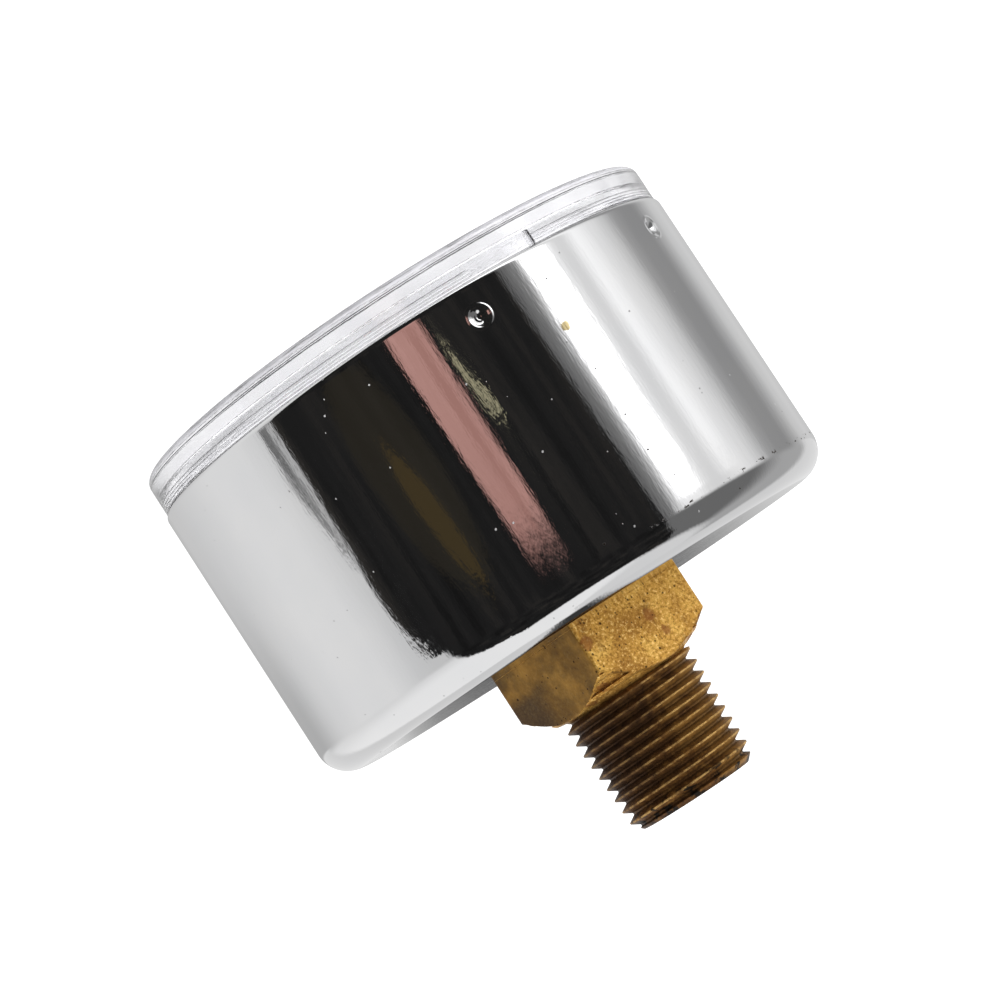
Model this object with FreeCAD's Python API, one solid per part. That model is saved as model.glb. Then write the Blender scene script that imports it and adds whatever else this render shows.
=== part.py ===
import FreeCAD, Part
import math
import os
from FreeCAD import Vector, Placement, Rotation

# Centre-back-mount Bourdon-tube pressure gauge, 40 mm class, 1/8-27 taper thread.
# Millimetres. Origin: centre of the free end face of the connection thread.
# +Y runs out of the inlet along the thread, the dial faces -Y, +Z is 12 o'clock.

# ---------------------------------------------------------------- dimensions
# case
CASE_R = 20.55          # outer radius of the drawn case
CASE_T = 0.50           # sheet thickness
Y_BACK = -14.26         # outer face of the case back
Y_RIM = -36.28          # front rim of the case
BACK_FILLET = 2.35      # outer radius of the rear corner
BACK_HOLE_R = 3.60      # hole for the stem spigot
LIP_R = 0.42            # outer rounding of the front rim
DIMPLE_Y = -33.92       # plane of the punched retaining dimples
DIMPLE_PHI = (14.5, 63.9)   # degrees from 12 o'clock towards -X, pattern repeats
DIMPLE_REPEAT = 2
DIMPLE_BALL = 1.50      # punch radius
DIMPLE_DEPTH = 0.32

# lens
LENS_R = 20.36
LENS_Y_EDGE = -39.10    # front plane at the edge
LENS_Y_CROWN = -40.02   # front of the slightly domed window
LENS_EDGE_R = 0.55
LENS_WALL = 1.40
SKIRT_R = 19.95
SKIRT_RI = 18.75
SKIRT_Y = -32.30        # inner end of the snap-in skirt
GROOVE_R = 19.42
PAD_PHI = (17.8, 31.6)  # raised pad on the flange
PAD_Y = -37.50
SLOT_PHI = 31.6         # pry slot in the flange
SLOT_W = 0.50
SLOT_Y = -37.34

# stem
SQ = 10.90              # across the flats of the square wrench block
SQ_TURN = 7.3           # degrees, corner nearest 12 o'clock lies towards +X
SQ_Y = -10.70           # end of the flats
CONE_Y = -8.87          # end of the turned cone
CONE_R0 = 7.60
THREAD_R = 4.95         # crest radius at the free end
THREAD_TAPER = 1.0 / 32.0   # on the radius
THREAD_PITCH = 0.9407
THREAD_DEPTH = 0.60
THREAD_CREST = 0.10
SPIGOT_R = 3.50
SPIGOT_Y = -17.90
INLET_R = 2.00
INLET_L = 5.50
BORE_R = 1.20

# inner pieces, axial stations
Y_INNER = Y_BACK - CASE_T          # inner face of the case back
WASHER_T = 0.50
Y_HOLD0 = Y_INNER - WASHER_T       # rear face of the holder
Y_HOLD1 = -19.90                   # front face of the holder hub
Y_BAR1 = -19.20                    # front face of the holder bar
Y_BOT1 = -20.70                    # bottom plate front face
Y_TOP0 = -25.50                    # top plate rear face
Y_TOP1 = -26.30                    # top plate front face
Y_DIAL0 = -31.40
Y_DIAL1 = -31.80
DIAL_R = 19.80

# movement
PILLARS = ((-4.6, 4.6), (5.4, 4.6), (-2.5, -6.5))
PILLAR_R = 1.40
SECTOR_X, SECTOR_Z = 5.70, -4.40
MODULE = 0.16
Z_PINION = 10
Z_SECTOR = 80                      # teeth of the full circle
PRESSURE_ANGLE = 25.0
ADDENDUM = 0.80
DEDENDUM = 1.05
BACKLASH = 0.035
SECTOR_Y0, SECTOR_Y1 = -22.00, -22.80
PINION_Y0, PINION_Y1 = -21.40, -23.60
TAIL_R = 3.74                      # sector pivot to link pin
TAIL_REST = -38.9                  # polar direction of the tail at rest
LINK_L = 6.20
LINK_DIR = 66.0
LINK_Y0, LINK_Y1 = -22.85, -23.35

# Bourdon tube
TUBE_R = 15.00
TUBE_W = 5.00
TUBE_H = 1.50
TUBE_T = 0.20
TUBE_Y = -22.00
TUBE_ROOT = 274.0                  # polar angle inside the holder socket
TUBE_TIP = 2.0                     # polar angle inside the tip cap

# pointer, zero at 7:30, full scale at 4:30
POINTER_DIR = 225.0
POINTER_L = 15.6
POINTER_Y0, POINTER_Y1 = -32.85, -33.07
SHAFT_END = -34.20

DIAL_POSTS = ((-7.0, 0.0), (7.0, 0.0))

os.makedirs("parts", exist_ok=True)
YDIR = Vector(0, 1, 0)


# ---------------------------------------------------------------- helpers
def cyl(r, ya, yb, x=0.0, z=0.0):
    """Cylinder along Y between ya and yb."""
    lo, hi = min(ya, yb), max(ya, yb)
    return Part.makeCylinder(r, hi - lo, Vector(x, lo, z), YDIR)


def ring(ro, ri, ya, yb, x=0.0, z=0.0):
    return cyl(ro, ya, yb, x, z).cut(cyl(ri, ya - 1 if ya < yb else ya + 1,
                                         yb + 1 if ya < yb else yb - 1, x, z))


def box(x0, x1, y0, y1, z0, z1):
    return Part.makeBox(x1 - x0, abs(y1 - y0), z1 - z0,
                        Vector(x0, min(y0, y1), z0))


def polar(r, deg, x=0.0, z=0.0):
    a = math.radians(deg)
    return (x + r * math.cos(a), z + r * math.sin(a))


def slab(points, ya, yb):
    """Prism from a polygon in the XZ plane, between ya and yb."""
    lo, hi = min(ya, yb), max(ya, yb)
    vs = [Vector(px, lo, pz) for px, pz in points]
    wire = Part.makePolygon(vs + [vs[0]])
    return Part.Face(wire).extrude(Vector(0, hi - lo, 0))


def bar(x0, z0, x1, z1, w, ya, yb):
    """Flat bar with round ends."""
    dx, dz = x1 - x0, z1 - z0
    length = math.hypot(dx, dz)
    nx, nz = -dz / length * w / 2, dx / length * w / 2
    body = slab([(x0 + nx, z0 + nz), (x1 + nx, z1 + nz),
                 (x1 - nx, z1 - nz), (x0 - nx, z0 - nz)], ya, yb)
    body = body.fuse(cyl(w / 2, ya, yb, x0, z0))
    body = body.fuse(cyl(w / 2, ya, yb, x1, z1))
    return body.removeSplitter()


def turn(shape, deg, x=0.0, z=0.0):
    """Turn anticlockwise seen from the front (looking along +Y)."""
    s = shape.copy()
    s.rotate(Vector(x, 0, z), YDIR, -deg)
    return s


def revolve(edges):
    """Solid of revolution about Y from closed edges drawn in the XY plane."""
    face = Part.Face(Part.Wire(edges))
    return face.revolve(Vector(0, 0, 0), YDIR, 360)


def line(a, b):
    return Part.LineSegment(Vector(a[0], a[1], 0), Vector(b[0], b[1], 0)).toShape()


def arc(a, m, b):
    return Part.Arc(Vector(a[0], a[1], 0), Vector(m[0], m[1], 0),
                    Vector(b[0], b[1], 0)).toShape()


def corner(cx, cy, r, a0, a1):
    p = [(cx + r * math.cos(math.radians(t)), cy + r * math.sin(math.radians(t)))
         for t in (a0, (a0 + a1) / 2.0, a1)]
    return arc(*p), p[0], p[2]


def solid_of(shape):
    if shape.ShapeType == "Solid":
        return shape
    sol = shape.Solids
    if len(sol) == 1:
        return sol[0]
    return shape


SAVED = []


def save(name, shape):
    shape = solid_of(shape)
    ok = shape.isValid()
    SAVED.append((name, len(shape.Solids), round(shape.Volume, 3), ok))
    shape.exportStep("parts/%s.step" % name)


# ---------------------------------------------------------------- case
def make_case():
    ri = CASE_R - CASE_T
    fo, fi = BACK_FILLET, BACK_FILLET - CASE_T
    yo, yi = Y_BACK, Y_INNER
    e = []
    e.append(line((BACK_HOLE_R, yo), (CASE_R - fo, yo)))
    a, p0, p1 = corner(CASE_R - fo, yo - fo, fo, 90, 0)
    e.append(a)
    e.append(line((CASE_R, yo - fo), (CASE_R, Y_RIM + LIP_R)))
    a, p0, p1 = corner(CASE_R - LIP_R, Y_RIM + LIP_R, LIP_R, 0, -90)
    e.append(a)
    e.append(line((CASE_R - LIP_R, Y_RIM), (ri, Y_RIM)))
    e.append(line((ri, Y_RIM), (ri, yi - fi)))
    a, p0, p1 = corner(ri - fi, yi - fi, fi, 0, 90)
    e.append(a)
    e.append(line((ri - fi, yi), (BACK_HOLE_R, yi)))
    e.append(line((BACK_HOLE_R, yi), (BACK_HOLE_R, yo)))
    body = revolve(e)
    centre = CASE_R + DIMPLE_BALL - DIMPLE_DEPTH
    for k in range(DIMPLE_REPEAT):
        for phi in DIMPLE_PHI:
            a = 90.0 + phi + k * 360.0 / DIMPLE_REPEAT
            cx, cz = polar(centre, a)
            c = Vector(cx, DIMPLE_Y, cz)
            bump = Part.makeSphere(DIMPLE_BALL + CASE_T, c)
            bump = bump.common(cyl(CASE_R - 0.25, DIMPLE_Y - 4, DIMPLE_Y + 4))
            body = body.fuse(bump)
            body = body.cut(Part.makeSphere(DIMPLE_BALL, c))
    return body


# ---------------------------------------------------------------- lens
def make_lens():
    fr = LENS_EDGE_R
    rf = LENS_R - fr
    yi_edge = LENS_Y_EDGE + LENS_WALL
    yi_crown = LENS_Y_CROWN + LENS_WALL

    def dome(rho, edge_rho, crown, edge):
        """Height of a spherical window at radius rho."""
        sag = edge - crown
        ball = (edge_rho ** 2 + sag ** 2) / (2.0 * sag)
        return crown + ball - math.sqrt(ball ** 2 - rho ** 2)

    mid = dome(rf / 2, rf, LENS_Y_CROWN, LENS_Y_EDGE)
    yi_mid = dome(SKIRT_RI / 2, SKIRT_RI, yi_crown, yi_edge)
    e = [arc((0, LENS_Y_CROWN), (rf / 2, mid), (rf, LENS_Y_EDGE))]
    a, p0, p1 = corner(rf, LENS_Y_EDGE + fr, fr, -90, 0)
    e.append(a)
    pts = [(LENS_R, LENS_Y_EDGE + fr), (LENS_R, Y_RIM), (SKIRT_R, Y_RIM),
           (SKIRT_R, -35.45), (GROOVE_R, -35.05), (GROOVE_R, -32.80),
           (SKIRT_R - 0.15, -32.65), (SKIRT_R - 0.15, SKIRT_Y),
           (SKIRT_RI, SKIRT_Y), (SKIRT_RI, yi_edge)]
    for p, q in zip(pts[:-1], pts[1:]):
        e.append(line(p, q))
    e.append(arc((SKIRT_RI, yi_edge), (SKIRT_RI / 2, yi_mid), (0, yi_crown)))
    e.append(line((0, yi_crown), (0, LENS_Y_CROWN)))
    body = revolve(e)
    # raised pad on the flange
    pad = Part.Face(Part.makePolygon([Vector(LENS_R - 0.5, PAD_Y, 0), Vector(LENS_R + 0.05, PAD_Y, 0),
                                      Vector(LENS_R + 0.05, Y_RIM - 0.03, 0),
                                      Vector(LENS_R - 0.5, Y_RIM - 0.03, 0),
                                      Vector(LENS_R - 0.5, PAD_Y, 0)]))
    pad = pad.revolve(Vector(0, 0, 0), YDIR, PAD_PHI[1] - PAD_PHI[0])
    body = body.fuse(turn(pad, 90.0 + PAD_PHI[1]))
    slot = box(-SLOT_W / 2, SLOT_W / 2, SLOT_Y, Y_RIM + 0.5, SKIRT_R + 0.10, LENS_R + 1)
    body = body.cut(turn(slot, SLOT_PHI))
    return body


# ---------------------------------------------------------------- stem
def thread_r(y):
    return THREAD_R - y * THREAD_TAPER


def make_stem():
    # square block and the turned cone that trims its corners
    h = SQ / 2.0
    block = box(-h, h, Y_BACK, CONE_Y, -h, h)
    block.rotate(Vector(0, 0, 0), YDIR, 45.0 + SQ_TURN)
    rt = thread_r(CONE_Y)
    trim = revolve([line((0, Y_BACK), (9.0, Y_BACK)),
                    line((9.0, Y_BACK), (9.0, SQ_Y)),
                    line((9.0, SQ_Y), (CONE_R0, SQ_Y)),
                    line((CONE_R0, SQ_Y), (rt, CONE_Y)),
                    line((rt, CONE_Y), (0, CONE_Y)),
                    line((0, CONE_Y), (0, Y_BACK))])
    block = block.common(trim)
    # tapered shank
    shank = Part.makeCone(thread_r(0), thread_r(CONE_Y - 0.5), 0.5 - CONE_Y,
                          Vector(0, 0, 0), Vector(0, -1, 0))
    # helical V groove
    p, d = THREAD_PITCH, THREAD_DEPTH
    ext = 0.12
    half = (p - THREAD_CREST) / 2.0
    t30 = math.tan(math.radians(30))
    z_start = -0.9
    z_end = -CONE_Y + 0.02
    r_start = THREAD_R + z_start * THREAD_TAPER
    helix = Part.makeHelix(p, z_end - z_start, r_start, math.degrees(math.atan(THREAD_TAPER)))
    helix.translate(Vector(0, 0, z_start))
    wo = half + ext * t30
    wi = half - d * t30
    prof = Part.makePolygon([Vector(r_start + ext, 0, z_start - wo),
                             Vector(r_start - d, 0, z_start - wi),
                             Vector(r_start - d, 0, z_start + wi),
                             Vector(r_start + ext, 0, z_start + wo),
                             Vector(r_start + ext, 0, z_start - wo)])
    tool = Part.Wire(helix).makePipeShell([prof], True, True)
    tool.rotate(Vector(0, 0, 0), Vector(1, 0, 0), 90)
    threaded = shank.cut(tool)
    # chamfer at the free end
    ch = 0.62
    bevel = cyl(7.0, 0.5, -ch).cut(Part.makeCone(thread_r(0) - ch - 0.5, thread_r(0) + 0.0,
                                                ch + 0.5, Vector(0, 0.5, 0), Vector(0, -1, 0)))
    threaded = threaded.cut(bevel)
    body = block.fuse(threaded)
    # spigot through the case back, with a thread relief
    body = body.fuse(cyl(SPIGOT_R, Y_BACK, SPIGOT_Y))
    body = body.cut(cyl(BORE_R, 1, SPIGOT_Y - 1))
    body = body.cut(cyl(INLET_R, 1, -INLET_L))
    return body


def make_restrictor():
    body = cyl(BORE_R, -INLET_L - 0.1, -INLET_L - 2.1)
    body = body.cut(cyl(0.20, 0, -9))
    body = body.cut(box(-0.2, 0.2, -INLET_L - 0.6, -INLET_L, -2, 2))
    return body


# ---------------------------------------------------------------- holder
def make_lock_washer():
    body = ring(6.2, 3.62, Y_INNER, Y_HOLD0)
    for k in range(12):
        notch = box(-0.45, 0.45, Y_INNER + 0.5, Y_HOLD0 - 0.5, 5.2, 8)
        body = body.cut(turn(notch, k * 30))
    return body


def obround(w, h, r, deg0, deg1, y):
    """Flat tube section swept about Y from polar deg0 clockwise to deg1."""
    hs = (w - h) / 2.0
    ya, yb = y - hs, y + hs
    e = [line((r - h / 2, ya), (r - h / 2, yb)),
         arc((r - h / 2, yb), (r, yb + h / 2), (r + h / 2, yb)),
         line((r + h / 2, yb), (r + h / 2, ya)),
         arc((r + h / 2, ya), (r, ya - h / 2), (r - h / 2, ya))]
    face = Part.Face(Part.Wire(e))
    sweep = deg0 - deg1
    s = face.revolve(Vector(0, 0, 0), YDIR, sweep)
    # the face starts at polar 0 and turns clockwise; bring its start to deg0
    s.rotate(Vector(0, 0, 0), YDIR, -deg0)
    return s


def make_tube():
    outer = obround(TUBE_W, TUBE_H, TUBE_R, TUBE_ROOT, TUBE_TIP, TUBE_Y)
    inner = obround(TUBE_W - 2 * TUBE_T, TUBE_H - 2 * TUBE_T, TUBE_R,
                    TUBE_ROOT + 1, TUBE_TIP - 1, TUBE_Y)
    return outer.cut(inner)


def make_holder():
    body = cyl(8.9, Y_HOLD0, Y_HOLD1)
    body = body.fuse(box(-4.0, 4.0, Y_BAR1, Y_HOLD0, -17.2, -6.0))
    lug = box(-2.2, 2.8, -25.1, Y_HOLD0, -17.2, -13.2)
    body = body.fuse(lug)
    # threaded hole for the spigot and the pressure chamber
    body = body.cut(cyl(SPIGOT_R, 0, SPIGOT_Y))
    body = body.cut(cyl(2.5, SPIGOT_Y, -19.1))
    # tube socket and drilled passage
    body = body.cut(obround(TUBE_W, TUBE_H, TUBE_R, TUBE_ROOT, 250.0, TUBE_Y))
    drill = Part.makeCylinder(0.45, 16.5, Vector(0, -18.5, -17.2), Vector(0, 0, 1))
    body = body.cut(drill)
    chamber = Part.makeCylinder(0.45, 2.2, Vector(0.0, -18.5, -15.0), Vector(0, -1, 0))
    body = body.cut(chamber)
    # tapped holes under the movement pillars
    for px, pz in PILLARS:
        body = body.cut(cyl(0.65, Y_HOLD1 - 1, -17.6, px, pz))
    # light chamfer on the bar end
    for sx in (-1, 1):
        w = slab([(sx * 4.2, -15.9), (sx * 4.2, -17.4), (sx * 2.7, -17.4)],
                 Y_BAR1 - 8, Y_HOLD0 + 1)
        body = body.cut(w)
    return body.removeSplitter()


def make_passage_plug():
    return Part.makeCylinder(0.45, 1.0, Vector(0, -18.5, -17.2), Vector(0, 0, 1))


# ---------------------------------------------------------------- tube tip and link
def tail_pin_xz():
    return polar(TAIL_R, TAIL_REST, SECTOR_X, SECTOR_Z)


def tip_pin_xz():
    tx, tz = tail_pin_xz()
    return polar(LINK_L, LINK_DIR, tx, tz)


def make_tube_tip():
    px, pz = tip_pin_xz()
    # cap around the end of the tube
    cap = slab([(13.6, -1.6), (16.4, -1.6), (16.4, 1.6), (13.6, 1.6)], -19.1, -24.9)
    cap = cap.cut(obround(TUBE_W, TUBE_H, TUBE_R, 20.0, TUBE_TIP, TUBE_Y))
    lug = bar(px, pz, 14.4, -0.6, 2.0, SECTOR_Y0, SECTOR_Y1)
    lug = lug.cut(box(15.0, 20, -30, 0, -5, 5))
    lug = lug.cut(obround(TUBE_W, TUBE_H, TUBE_R, 20.0, TUBE_TIP, TUBE_Y))
    body = cap.fuse(lug)
    body = body.cut(cyl(0.40, -20, -25, px, pz))
    return body


def make_pin(x, z):
    body = cyl(0.40, SECTOR_Y0 + 0.1, -23.40, x, z)
    body = body.fuse(cyl(0.70, -23.40, -23.70, x, z))
    body = body.fuse(cyl(0.62, SECTOR_Y0, SECTOR_Y0 + 0.25, x, z))
    return body


def make_link():
    tx, tz = tail_pin_xz()
    px, pz = tip_pin_xz()
    body = bar(tx, tz, px, pz, 2.1, LINK_Y0, LINK_Y1)
    body = body.cut(cyl(0.43, -20, -25, tx, tz))
    body = body.cut(cyl(0.64, -20, -25, px, pz))
    return body


# ---------------------------------------------------------------- gears
def inv(a):
    return math.tan(a) - a


def tooth_half_angle(rho, r, rb, thick):
    """Half the angle of a tooth at radius rho."""
    a0 = math.radians(PRESSURE_ANGLE)
    psi = thick / (2.0 * r)
    rho = max(rho, rb)
    a = math.acos(min(1.0, rb / rho))
    return psi + inv(a0) - inv(a)


def tooth_points(z, centre_deg, root_r, tip_r, n=5):
    """Points of one tooth, anticlockwise, from root to root."""
    r = MODULE * z / 2.0
    rb = r * math.cos(math.radians(PRESSURE_ANGLE))
    thick = math.pi * MODULE / 2.0 - BACKLASH / 2.0
    rads = [root_r] + [max(rb, root_r) + (tip_r - max(rb, root_r)) * i / (n - 1)
                       for i in range(n)]
    if abs(rads[0] - rads[1]) < 1e-6:
        rads = rads[1:]
    right = [(q, -math.degrees(tooth_half_angle(q, r, rb, thick))) for q in rads]
    left = [(q, math.degrees(tooth_half_angle(q, r, rb, thick))) for q in reversed(rads)]
    return [polar(q, centre_deg + a) for q, a in right + left]


def make_pinion_shaft():
    r = MODULE * Z_PINION / 2.0
    tip = r + ADDENDUM * MODULE
    root = r - DEDENDUM * MODULE
    line_dir = math.degrees(math.atan2(SECTOR_Z, SECTOR_X))
    pts = []
    step = 360.0 / Z_PINION
    for k in range(Z_PINION):
        pts += tooth_points(Z_PINION, line_dir + step / 2.0 + k * step, root, tip)
    gear = slab(pts, PINION_Y0, PINION_Y1)
    body = cyl(0.35, -20.00, -20.76)
    body = body.fuse(cyl(0.60, -20.76, PINION_Y0))
    body = body.fuse(gear)
    body = body.fuse(cyl(0.60, PINION_Y1, Y_TOP0 + 0.05))
    body = body.fuse(cyl(0.45, Y_TOP0 + 0.05, -33.3))
    taper = Part.makeCone(0.45, 0.38, 0.9, Vector(0, -33.3, 0), Vector(0, -1, 0))
    body = body.fuse(taper)
    return body


def make_sector_gear():
    r = MODULE * Z_SECTOR / 2.0
    tip = r + ADDENDUM * MODULE
    root = r - DEDENDUM * MODULE
    step = 360.0 / Z_SECTOR
    mesh_dir = math.degrees(math.atan2(-SECTOR_Z, -SECTOR_X))
    # teeth from just past the line of centres back to the far end of travel
    k_hi, k_lo = 2, -10
    pts = []
    for k in range(k_lo, k_hi + 1):
        pts += tooth_points(Z_SECTOR, mesh_dir + k * step, root, tip)
    a_hi = mesh_dir + k_hi * step + 3.2
    a_lo = mesh_dir + k_lo * step - 3.2
    pts.append(polar(root, a_hi))
    pts.append(polar(4.9, a_hi))
    n = 10
    for i in range(1, n):
        pts.append(polar(4.9, a_hi + (a_lo - a_hi) * i / n))
    pts.append(polar(4.9, a_lo))
    pts.append(polar(root, a_lo))
    rim = slab(pts, SECTOR_Y0, SECTOR_Y1)
    # two arms and a hub, turned about the sector's own centre
    body = rim
    for a in (a_hi - 4.0, a_lo + 4.0):
        ax, az = polar(5.15, a)
        body = body.fuse(bar(0, 0, ax, az, 1.0, SECTOR_Y0, SECTOR_Y1))
    body = body.fuse(cyl(1.7, SECTOR_Y0, SECTOR_Y1))
    tx, tz = polar(TAIL_R, TAIL_REST)
    body = body.fuse(bar(0, 0, tx, tz, 2.1, SECTOR_Y0, SECTOR_Y1))
    body = body.cut(cyl(0.80, SECTOR_Y0 + 1, SECTOR_Y1 - 1))
    body = body.cut(cyl(0.40, SECTOR_Y0 + 1, SECTOR_Y1 - 1, tx, tz))
    body = body.removeSplitter()
    body.translate(Vector(SECTOR_X, 0, SECTOR_Z))
    return body


def make_sector_arbor():
    x, z = SECTOR_X, SECTOR_Z
    body = cyl(0.40, -19.98, -20.76, x, z)
    body = body.fuse(cyl(1.05, -20.76, SECTOR_Y0, x, z))
    body = body.fuse(cyl(0.80, SECTOR_Y0, SECTOR_Y1, x, z))
    body = body.fuse(cyl(0.75, SECTOR_Y1, Y_TOP0 + 0.05, x, z))
    body = body.fuse(cyl(0.40, Y_TOP0 + 0.05, Y_TOP1 - 0.05, x, z))
    return body


# ---------------------------------------------------------------- hairspring
SPRING_Y0, SPRING_Y1 = -24.28, -24.68
SPRING_T = 0.10
SPRING_R0 = 1.15
SPRING_R1 = 4.20
SPRING_TURNS = 5.5
STUD_DIR = 130.0


def make_collet():
    body = ring(1.10, 0.60, -24.0, -25.0)
    return body


def make_hairspring():
    """Flat spiral strip made of half-circle arcs."""
    n = int(round(SPRING_TURNS * 2))
    grow = (SPRING_R1 - SPRING_R0) / n
    end_dir = STUD_DIR
    start_dir = end_dir - 180.0 * n

    def pts(off):
        out = []
        for i in range(n + 1):
            out.append(polar(SPRING_R0 + grow * i + off, start_dir + 180.0 * i))
        return out

    def spiral(off):
        ps = pts(off)
        es = []
        for i in range(n):
            a, b = ps[i], ps[i + 1]
            cx, cz = (a[0] + b[0]) / 2, (a[1] + b[1]) / 2
            rr = math.hypot(a[0] - cx, a[1] - cz)
            mdir = start_dir + 180.0 * i + 90.0
            m = polar(rr, mdir, cx, cz)
            es.append(Part.Arc(Vector(a[0], SPRING_Y1, a[1]), Vector(m[0], SPRING_Y1, m[1]),
                               Vector(b[0], SPRING_Y1, b[1])).toShape())
        return es, ps

    eo, po = spiral(SPRING_T / 2)
    ei, pi_ = spiral(-SPRING_T / 2)

    def seg(a, b):
        return Part.LineSegment(Vector(a[0], SPRING_Y1, a[1]),
                                Vector(b[0], SPRING_Y1, b[1])).toShape()
    wire = Part.Wire(eo + [seg(po[-1], pi_[-1])] + list(reversed(ei)) + [seg(pi_[0], po[0])])
    face = Part.Face(wire)
    strip = face.extrude(Vector(0, SPRING_Y0 - SPRING_Y1, 0))
    return strip


def make_stud():
    x, z = polar(SPRING_R1 + SPRING_T / 2 + 0.45, STUD_DIR)
    body = cyl(0.45, Y_BOT1, -24.95, x, z)
    return body


# ---------------------------------------------------------------- plates
def make_bottom_plate():
    y0, y1 = Y_HOLD1, Y_BOT1
    body = cyl(8.6, y0, y1)
    body = body.cut(cyl(3.4, y0 + 1, y1 - 1, -8.6, -3.6))
    body = body.cut(cyl(2.2, y0 + 1, y1 - 1, 0.4, 7.6))
    for px, pz in PILLARS:
        body = body.cut(cyl(0.75, y0 + 1, y1 - 1, px, pz))
    body = body.cut(cyl(0.38, y0 + 1, y1 - 1))
    body = body.cut(cyl(0.43, y0 + 1, y1 - 1, SECTOR_X, SECTOR_Z))
    return body


def make_top_plate():
    y0, y1 = Y_TOP0, Y_TOP1
    body = cyl(9.1, y0, y1)
    body = body.cut(cyl(3.2, y0 + 1, y1 - 1, -8.6, -5.6))
    body = body.cut(cyl(2.4, y0 + 1, y1 - 1, 0.4, 8.2))
    body = body.cut(cyl(1.6, y0 + 1, y1 - 1, 3.6, 0.9))
    for px, pz in PILLARS:
        body = body.cut(cyl(0.75, y0 + 1, y1 - 1, px, pz))
    for px, pz in DIAL_POSTS:
        body = body.cut(cyl(0.60, y0 + 1, y1 - 1, px, pz))
    body = body.cut(cyl(0.48, y0 + 1, y1 - 1))
    body = body.cut(cyl(0.43, y0 + 1, y1 - 1, SECTOR_X, SECTOR_Z))
    return body


def group(solids):
    return Part.makeCompound(solids)


def make_pillars():
    return group([ring(PILLAR_R, 0.75, Y_BOT1, Y_TOP0, px, pz) for px, pz in PILLARS])


def make_movement_screws():
    out = []
    for px, pz in PILLARS:
        s = cyl(0.65, -18.2, Y_TOP1, px, pz)
        s = s.fuse(cyl(1.30, Y_TOP1, Y_TOP1 - 0.75, px, pz))
        s = s.cut(box(px - 0.2, px + 0.2, Y_TOP1 - 1, Y_TOP1 - 0.4, pz - 2, pz + 2))
        out.append(solid_of(s))
    return group(out)


def make_dial_posts():
    out = []
    for px, pz in DIAL_POSTS:
        s = cyl(1.50, Y_TOP1, Y_DIAL0, px, pz)
        s = s.fuse(cyl(0.60, Y_TOP0 + 0.1, Y_TOP1, px, pz))
        s = s.cut(cyl(0.70, Y_DIAL0 - 1, Y_DIAL0 + 3.2, px, pz))
        out.append(solid_of(s))
    return group(out)


def make_dial_screws():
    out = []
    for k, (px, pz) in enumerate(DIAL_POSTS):
        s = cyl(0.70, Y_DIAL0 + 2.8, Y_DIAL1, px, pz)
        head = cyl(1.45, Y_DIAL1, Y_DIAL1 - 0.60, px, pz)
        edge = [e for e in head.Edges
                if abs(e.BoundBox.YMin - (Y_DIAL1 - 0.60)) < 1e-4 and e.BoundBox.YLength < 1e-4]
        head = head.makeFillet(0.22, edge)
        s = s.fuse(head)
        cut = box(-0.2, 0.2, Y_DIAL1 - 1, Y_DIAL1 - 0.3, -2, 2)
        cut.rotate(Vector(0, 0, 0), YDIR, 25 + 55 * k)
        cut.translate(Vector(px, 0, pz))
        s = s.cut(cut)
        out.append(solid_of(s))
    return group(out)


def make_dial():
    body = cyl(DIAL_R, Y_DIAL0, Y_DIAL1)
    body = body.cut(cyl(1.2, Y_DIAL0 + 1, Y_DIAL1 - 1))
    for px, pz in DIAL_POSTS:
        body = body.cut(cyl(0.80, Y_DIAL0 + 1, Y_DIAL1 - 1, px, pz))
    sx, sz = stop_xz()
    body = body.cut(cyl(0.28, Y_DIAL0 + 1, Y_DIAL1 - 1, sx, sz))
    return body


def stop_xz():
    # pin just anticlockwise of the pointer blade at its rest direction
    px, pz = polar(9.6, POINTER_DIR)
    off = 0.28 + 0.62 + 0.04
    return polar(off, POINTER_DIR + 90.0, px, pz)


def make_stop_pin():
    sx, sz = stop_xz()
    body = cyl(0.28, Y_DIAL0, -33.55, sx, sz)
    edge = [e for e in body.Edges if abs(e.BoundBox.YMin + 33.55) < 1e-4 and e.BoundBox.YLength < 1e-4]
    return body.makeFillet(0.12, edge)


def make_pointer():
    y0, y1 = POINTER_Y0, POINTER_Y1
    pts = [(POINTER_L, 0.0), (POINTER_L - 0.7, 0.22), (9.0, 0.58), (2.2, 0.85)]
    tail = [(-2.2, 1.0), (-5.6, 1.55), (-6.2, 1.1)]
    up = pts + tail
    down = [(a, -b) for a, b in reversed(up) if b > 0]
    blade = slab(up + down, y0, y1)
    blade = blade.fuse(cyl(2.35, y0, y1))
    blade = blade.cut(cyl(1.0, y0 + 1, y1 - 1))
    return turn(blade.removeSplitter(), POINTER_DIR)


def make_pointer_hub():
    body = cyl(1.60, -32.45, POINTER_Y0)
    body = body.fuse(cyl(1.00, POINTER_Y0, POINTER_Y1))
    body = body.fuse(cyl(1.35, POINTER_Y1, -33.75))
    body = body.cut(cyl(0.45, -30, -33.3))
    body = body.cut(Part.makeCone(0.45, 0.38, 0.9, Vector(0, -33.3, 0), Vector(0, -1, 0)))
    return body


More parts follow.
